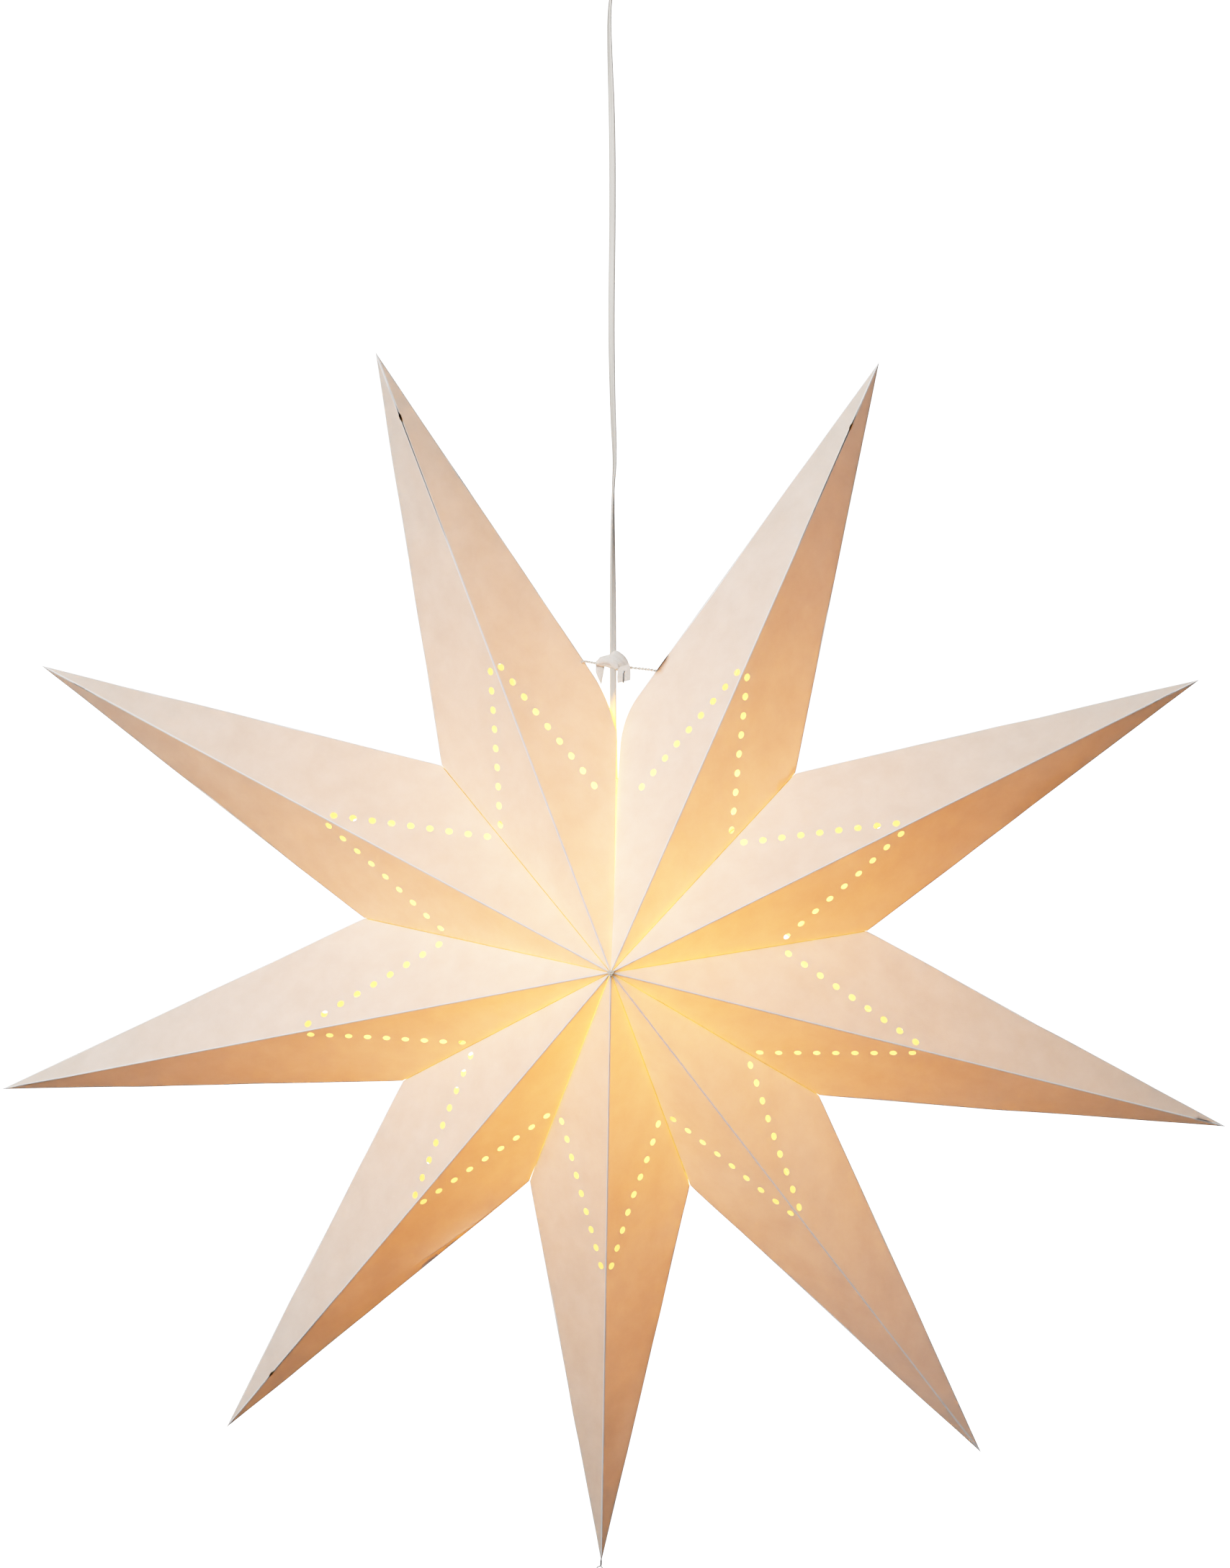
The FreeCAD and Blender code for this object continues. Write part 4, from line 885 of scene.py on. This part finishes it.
# ---------------------------------------------------------------------------------- knots and loop
# A doubled white thread draws the nine inner corners together and ends in a flat knot on each pole. At the
# lowest tip a thin dark thread makes a loop, for tying the folded star shut.
# Plied cotton thread: two strands twisted together, matt, with loose fibres.
plied_thread, tree = finish_of("plied_cotton_thread")
fuzz = noise(tree, 3200.0, 3.0)
skin(tree, between(tree, fuzz, "DCD6CB", "F6F2EA"), fuzz, 0.5, 0.0001,
     {"Roughness": 0.85, "IOR": 1.5, "Sheen Weight": 0.25})
# Dark polyester sewing thread: nearly black brown with a dull shine on each strand.
dark_polyester, tree = finish_of("dark_polyester_thread")
fuzz = noise(tree, 3600.0, 2.0)
skin(tree, between(tree, fuzz, "2B241F", "4A3F37"), fuzz, 0.4, 0.00008,
     {"Roughness": 0.55, "IOR": 1.54, "Sheen Weight": 0.15})
for name, sign in (("front_knot", -1), ("back_knot", 1)):
    # a three-lobed knot, flat against the pole: sin t + 2 sin 2t across, cos t - 2 cos 2t up, sin 3t deep
    t = np.linspace(0, 2 * np.pi, 150)
    wound = np.stack([0.0006 + 0.00072 * (np.sin(t) + 2 * np.sin(2 * t)),
                      sign * (0.10225 + 0.00062 * np.sin(3 * t)),
                      -0.8 + 0.00068 * (np.cos(t) - 2 * np.cos(2 * t))], 1)
    knot = swept(name + "_winding", wound, twin_section(np.linspace(0, 40, 150), wide=0.00058, thick=0.00042),
                 plied_thread, sideways=(0, 1, 0))
    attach(knot, "star")
    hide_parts(name)
tip = star_place + Vector(0.5 * heading(268.75))
turn = np.radians(np.linspace(-62, 242, 60))
ring = np.stack([tip.x - 0.0002 + 0.0028 * np.cos(turn) - 0.001, 0.00025 * np.sin(3 * turn),
                 tip.z - 0.0062 - 0.0028 * np.sin(turn)], 1)
tails = np.array([[tip.x + 0.0001, 0.0, tip.z + 0.0040], [tip.x + 0.0002, 0.0, tip.z + 0.0012],
                  [tip.x + 0.0002, 0.0, tip.z - 0.0015], [tip.x - 0.0001, 0.0, tip.z - 0.0026]])
loop_path = np.r_[tails, ring[::-1], [[tip.x - 0.0006, 0.0005, tip.z - 0.0024],
                                      [tip.x - 0.0002, 0.0005, tip.z + 0.0030]]]
thread_loop = swept("tip_thread_loop", spline_places("tip_thread_route", loop_path, 4),
                    oval(0.00042, 0.00042, 10), dark_polyester, sideways=(0, 1, 0))
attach(thread_loop, "star")
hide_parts("tip_thread")

# --------------------------------------------------------------------------------------------- tie
# A soft woven cotton tape closes the star round the flex: it is wound over the flex and folded, its end
# hangs down stapled, a loop hangs behind, and a twisted strand runs to the hole in each neighbouring point.
# Plain-woven cotton tape, off-white and matt. Threads 0.5 mm apart show as rows of small knuckles.
cotton, tree = finish_of("woven_cotton_tape")
flat_place = add(tree, "UVMap", uv_map="own")
weft, warp = (add(tree, "TexWave", {"Vector": flat_place, "Scale": 0.42, "Distortion": 0.4}, bands_direction=way)
              for way in "XY")
weave = add(tree, "Math", {0: weft, 1: warp}, operation="MULTIPLY")
height = add(tree, "Math", {0: weave, 1: noise(tree, 500.0, 3.0)}, operation="ADD")
bump = add(tree, "Bump", {"Height": height, "Strength": 0.35, "Distance": 0.00008})
fibres = add(tree, "BsdfPrincipled", {"Base Color": between(tree, height, "E3DCD4", "FCFAF7", (0.25, 0.8)),
                                      "Roughness": 0.88, "IOR": 1.5, "Sheen Weight": 0.3, "Normal": bump})
soft_glow = add(tree, "BsdfTranslucent", {"Color": linear("E8D9C8"), "Normal": bump})
add(tree, "OutputMaterial", {"Surface": add(tree, "MixShader", {0: 0.18, 1: fibres, 2: soft_glow})})
TIE = np.array([0.0, 0.0, -0.576])


def through_places(places, count):
    """A smooth line through a few places: a cubic in each gap (Catmull-Rom), at evenly spaced parameters."""
    p = np.asarray(places, float)
    p = np.r_[[2 * p[0] - p[1]], p, [2 * p[-1] - p[-2]]]
    s = np.linspace(0, len(p) - 3 - 1e-9, count)
    i, t = s.astype(int), (s % 1)[:, None]
    a, b, c, d = p[i], p[i + 1], p[i + 2], p[i + 3]
    return 0.5 * (2 * b + (c - a) * t + (2 * a - 5 * b + 4 * c - d) * t ** 2 + (3 * b - a - 3 * c + d) * t ** 3)


def closed_tape(name, points, uv, sharp):
    """A closed form of tape from rows of places round it, in millimetres from the tie's middle."""
    rows, around = points.shape[:2]
    faces = grid_faces(rows, around, around=True).tolist()
    faces += [list(range(around))[::-1], list(range((rows - 1) * around, rows * around))]
    made = piece_of(name, points.reshape(-1, 3) / 1000 + TIE, faces, cotton, uv=uv, sharp=sharp)
    face_outwards(made)
    return made


def run_length(line):
    """How far along a line of places each place is."""
    return np.r_[0, np.cumsum(np.linalg.norm(np.diff(line, axis=0), axis=1))]


def bundle(name, upper, lower, depth, pleats, count=60, around=48):
    """Folded tape as one closed soft form between an upper and a lower edge.

    At each place along it stands an ellipse between the edges, with pleats: half the width times cos, and
    the depth times sin times (1 + pleats).
    """
    up, low, deep = (through_places(p, count) for p in (upper, lower, [[d, 0, 0] for d in depth]))
    angle = np.arange(around) / around * 2 * np.pi
    s = np.linspace(0, 1, count)[:, None]
    fold = (1 + pleats * np.cos(5 * angle + 2.4 * np.sin(3 * s))
            + 0.4 * pleats * np.cos(11 * angle - 5 * s))
    middle, half = (up + low) / 2, (up - low) / 2
    points = middle[:, None] + half[:, None] * (np.cos(angle) * (1 + 0.35 * (fold - 1)))[..., None]
    points[..., 1] += deep[:, :1] * np.sin(angle) * fold
    uv = np.stack(np.broadcast_arrays(angle[None] * 4.0, run_length(middle)[:, None]), -1).reshape(-1, 2)
    return closed_tape(name, points, uv, 60)


def tape(name, left, right, thick, curl=0.0, frill=0.0, count=36, across=10):
    """A flat tape between two edges, left + (right - left) w, with its back a thickness behind.

    It is bowed by curl sin(pi w), and frill waves its edges to and fro.
    """
    one, two = (through_places(p, count) for p in (left, right))
    w = np.linspace(0, 1, across)
    face = one[:, None] + (two - one)[:, None] * w[:, None]
    face[..., 1] -= curl * np.sin(np.pi * w) + frill * np.sin(np.linspace(0, 9, count))[:, None] * (w - 0.5)
    points = np.concatenate([face, face[:, ::-1] + [0, thick, 0]], 1)
    wide = np.linalg.norm(two - one, axis=1).mean()
    uv = np.stack(np.broadcast_arrays(np.r_[w, w[::-1]][None] * wide, run_length(one)[:, None]), -1)
    return closed_tape(name, points, uv.reshape(-1, 2), 50)


wrap = bundle("tape_wrap",
              upper=[(-13.0, 0, 3.2), (-10.4, 0, 6.0), (-3.8, 0, 8.0), (1.3, 0, 11.2), (6.1, 0, 8.8),
                     (10.0, 0, 4.3), (12.3, 0, -2.0)],
              lower=[(-13.8, 0, -0.6), (-10.0, 0, -1.2), (-6.2, 0, -1.6), (-2.0, 0, -2.8), (1.0, 0, -3.6),
                     (2.6, 0, -4.6), (4.0, 0, -4.6)],
              depth=[1.0, 2.4, 3.6, 4.1, 4.0, 2.9, 1.2], pleats=0.09)
over = tape("tape_fold",
            [(-13.6, -1.6, 1.6), (-9.0, -3.4, 4.4), (-3.0, -4.5, 4.6), (2.0, -4.7, 2.0), (4.0, -4.4, -2.0)],
            [(-13.4, -1.6, -0.4), (-8.6, -3.2, 1.4), (-3.8, -4.4, 1.2), (-0.6, -4.6, -1.6), (0.8, -4.2, -3.4)],
            0.7, curl=0.35)
tail = tape("tape_tail",
            [(3.0, -3.9, -2.0), (2.8, -4.2, -6.0), (2.6, -4.1, -10.0), (2.9, -4.0, -14.0)],
            [(12.2, -3.5, 1.0), (12.9, -4.0, -4.0), (13.0, -4.1, -8.0), (12.9, -3.9, -11.6)],
            0.9, curl=0.25, frill=0.25)
hanging = tape("tape_loop",
               [(-13.8, 1.6, 3.2), (-14.2, 2.0, -2.0), (-13.9, 2.2, -7.0), (-10.4, 2.4, -15.0)],
               [(-7.2, 1.6, 2.0), (-7.6, 2.0, -3.0), (-8.4, 2.2, -8.0), (-9.8, 2.4, -15.4)],
               0.8, curl=0.5)
for piece, node in ((wrap, "tie_band"), (over, "tie_band"), (tail, "tie_tail"), (hanging, "tie_loop")):
    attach(piece, "tie")
    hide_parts(node)
for name, places in (("strand_left", [(-25.6, -2.6, 2.0), (-23.4, -2.0, 3.0), (-18.5, -1.3, 2.0),
                                      (-12.6, -1.4, 0.9)]),
                     ("strand_right", [(11.6, -0.8, -2.0), (17.0, -0.7, -2.6), (24.0, 0.2, -3.4),
                                       (30.2, 1.0, -4.1), (34.6, 1.6, -5.4)])):
    path = spline_places(name + "_route", np.array(places) / 1000 + TIE, 14)
    plies = twin_section(np.linspace(0, 26, len(path)), wide=0.0011, thick=0.00075)
    cordage = swept(name + "_plies", path, plies, plied_thread, sideways=(0, 1, 0))
    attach(cordage, "tie")
    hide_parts(name)
staple_path = np.array([(8.6, -3.9, -4.6), (7.6, -4.7, -4.8), (7.5, -4.95, -5.4), (7.4, -4.95, -9.0),
                        (7.3, -4.95, -13.0), (7.4, -4.7, -13.6), (8.4, -3.9, -13.8)])
staple = swept("staple_wire", spline_places("staple_route", staple_path / 1000 + TIE, 6),
               oval(0.00055, 0.0002, 12), zinc_steel, sideways=(1, 0, 0))
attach(staple, "tie")
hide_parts("tie_staple")

# Inside the star the paper throws the bulb's light up at the flex, as far as the edges of the opening.
spill = inner_light("paper_spill", "SPOT", (1.0, 0.36, 0.01), 1000.0, 0.0, (-0.0105, -0.018, -0.690),
                    0.002, [flex])
spill.data.spot_size, spill.data.spot_blend = math.radians(45), 0.12
spill.rotation_euler = Vector((0.0100, 0.018, 0.0294)).to_track_quat("-Z", "Y").to_euler()
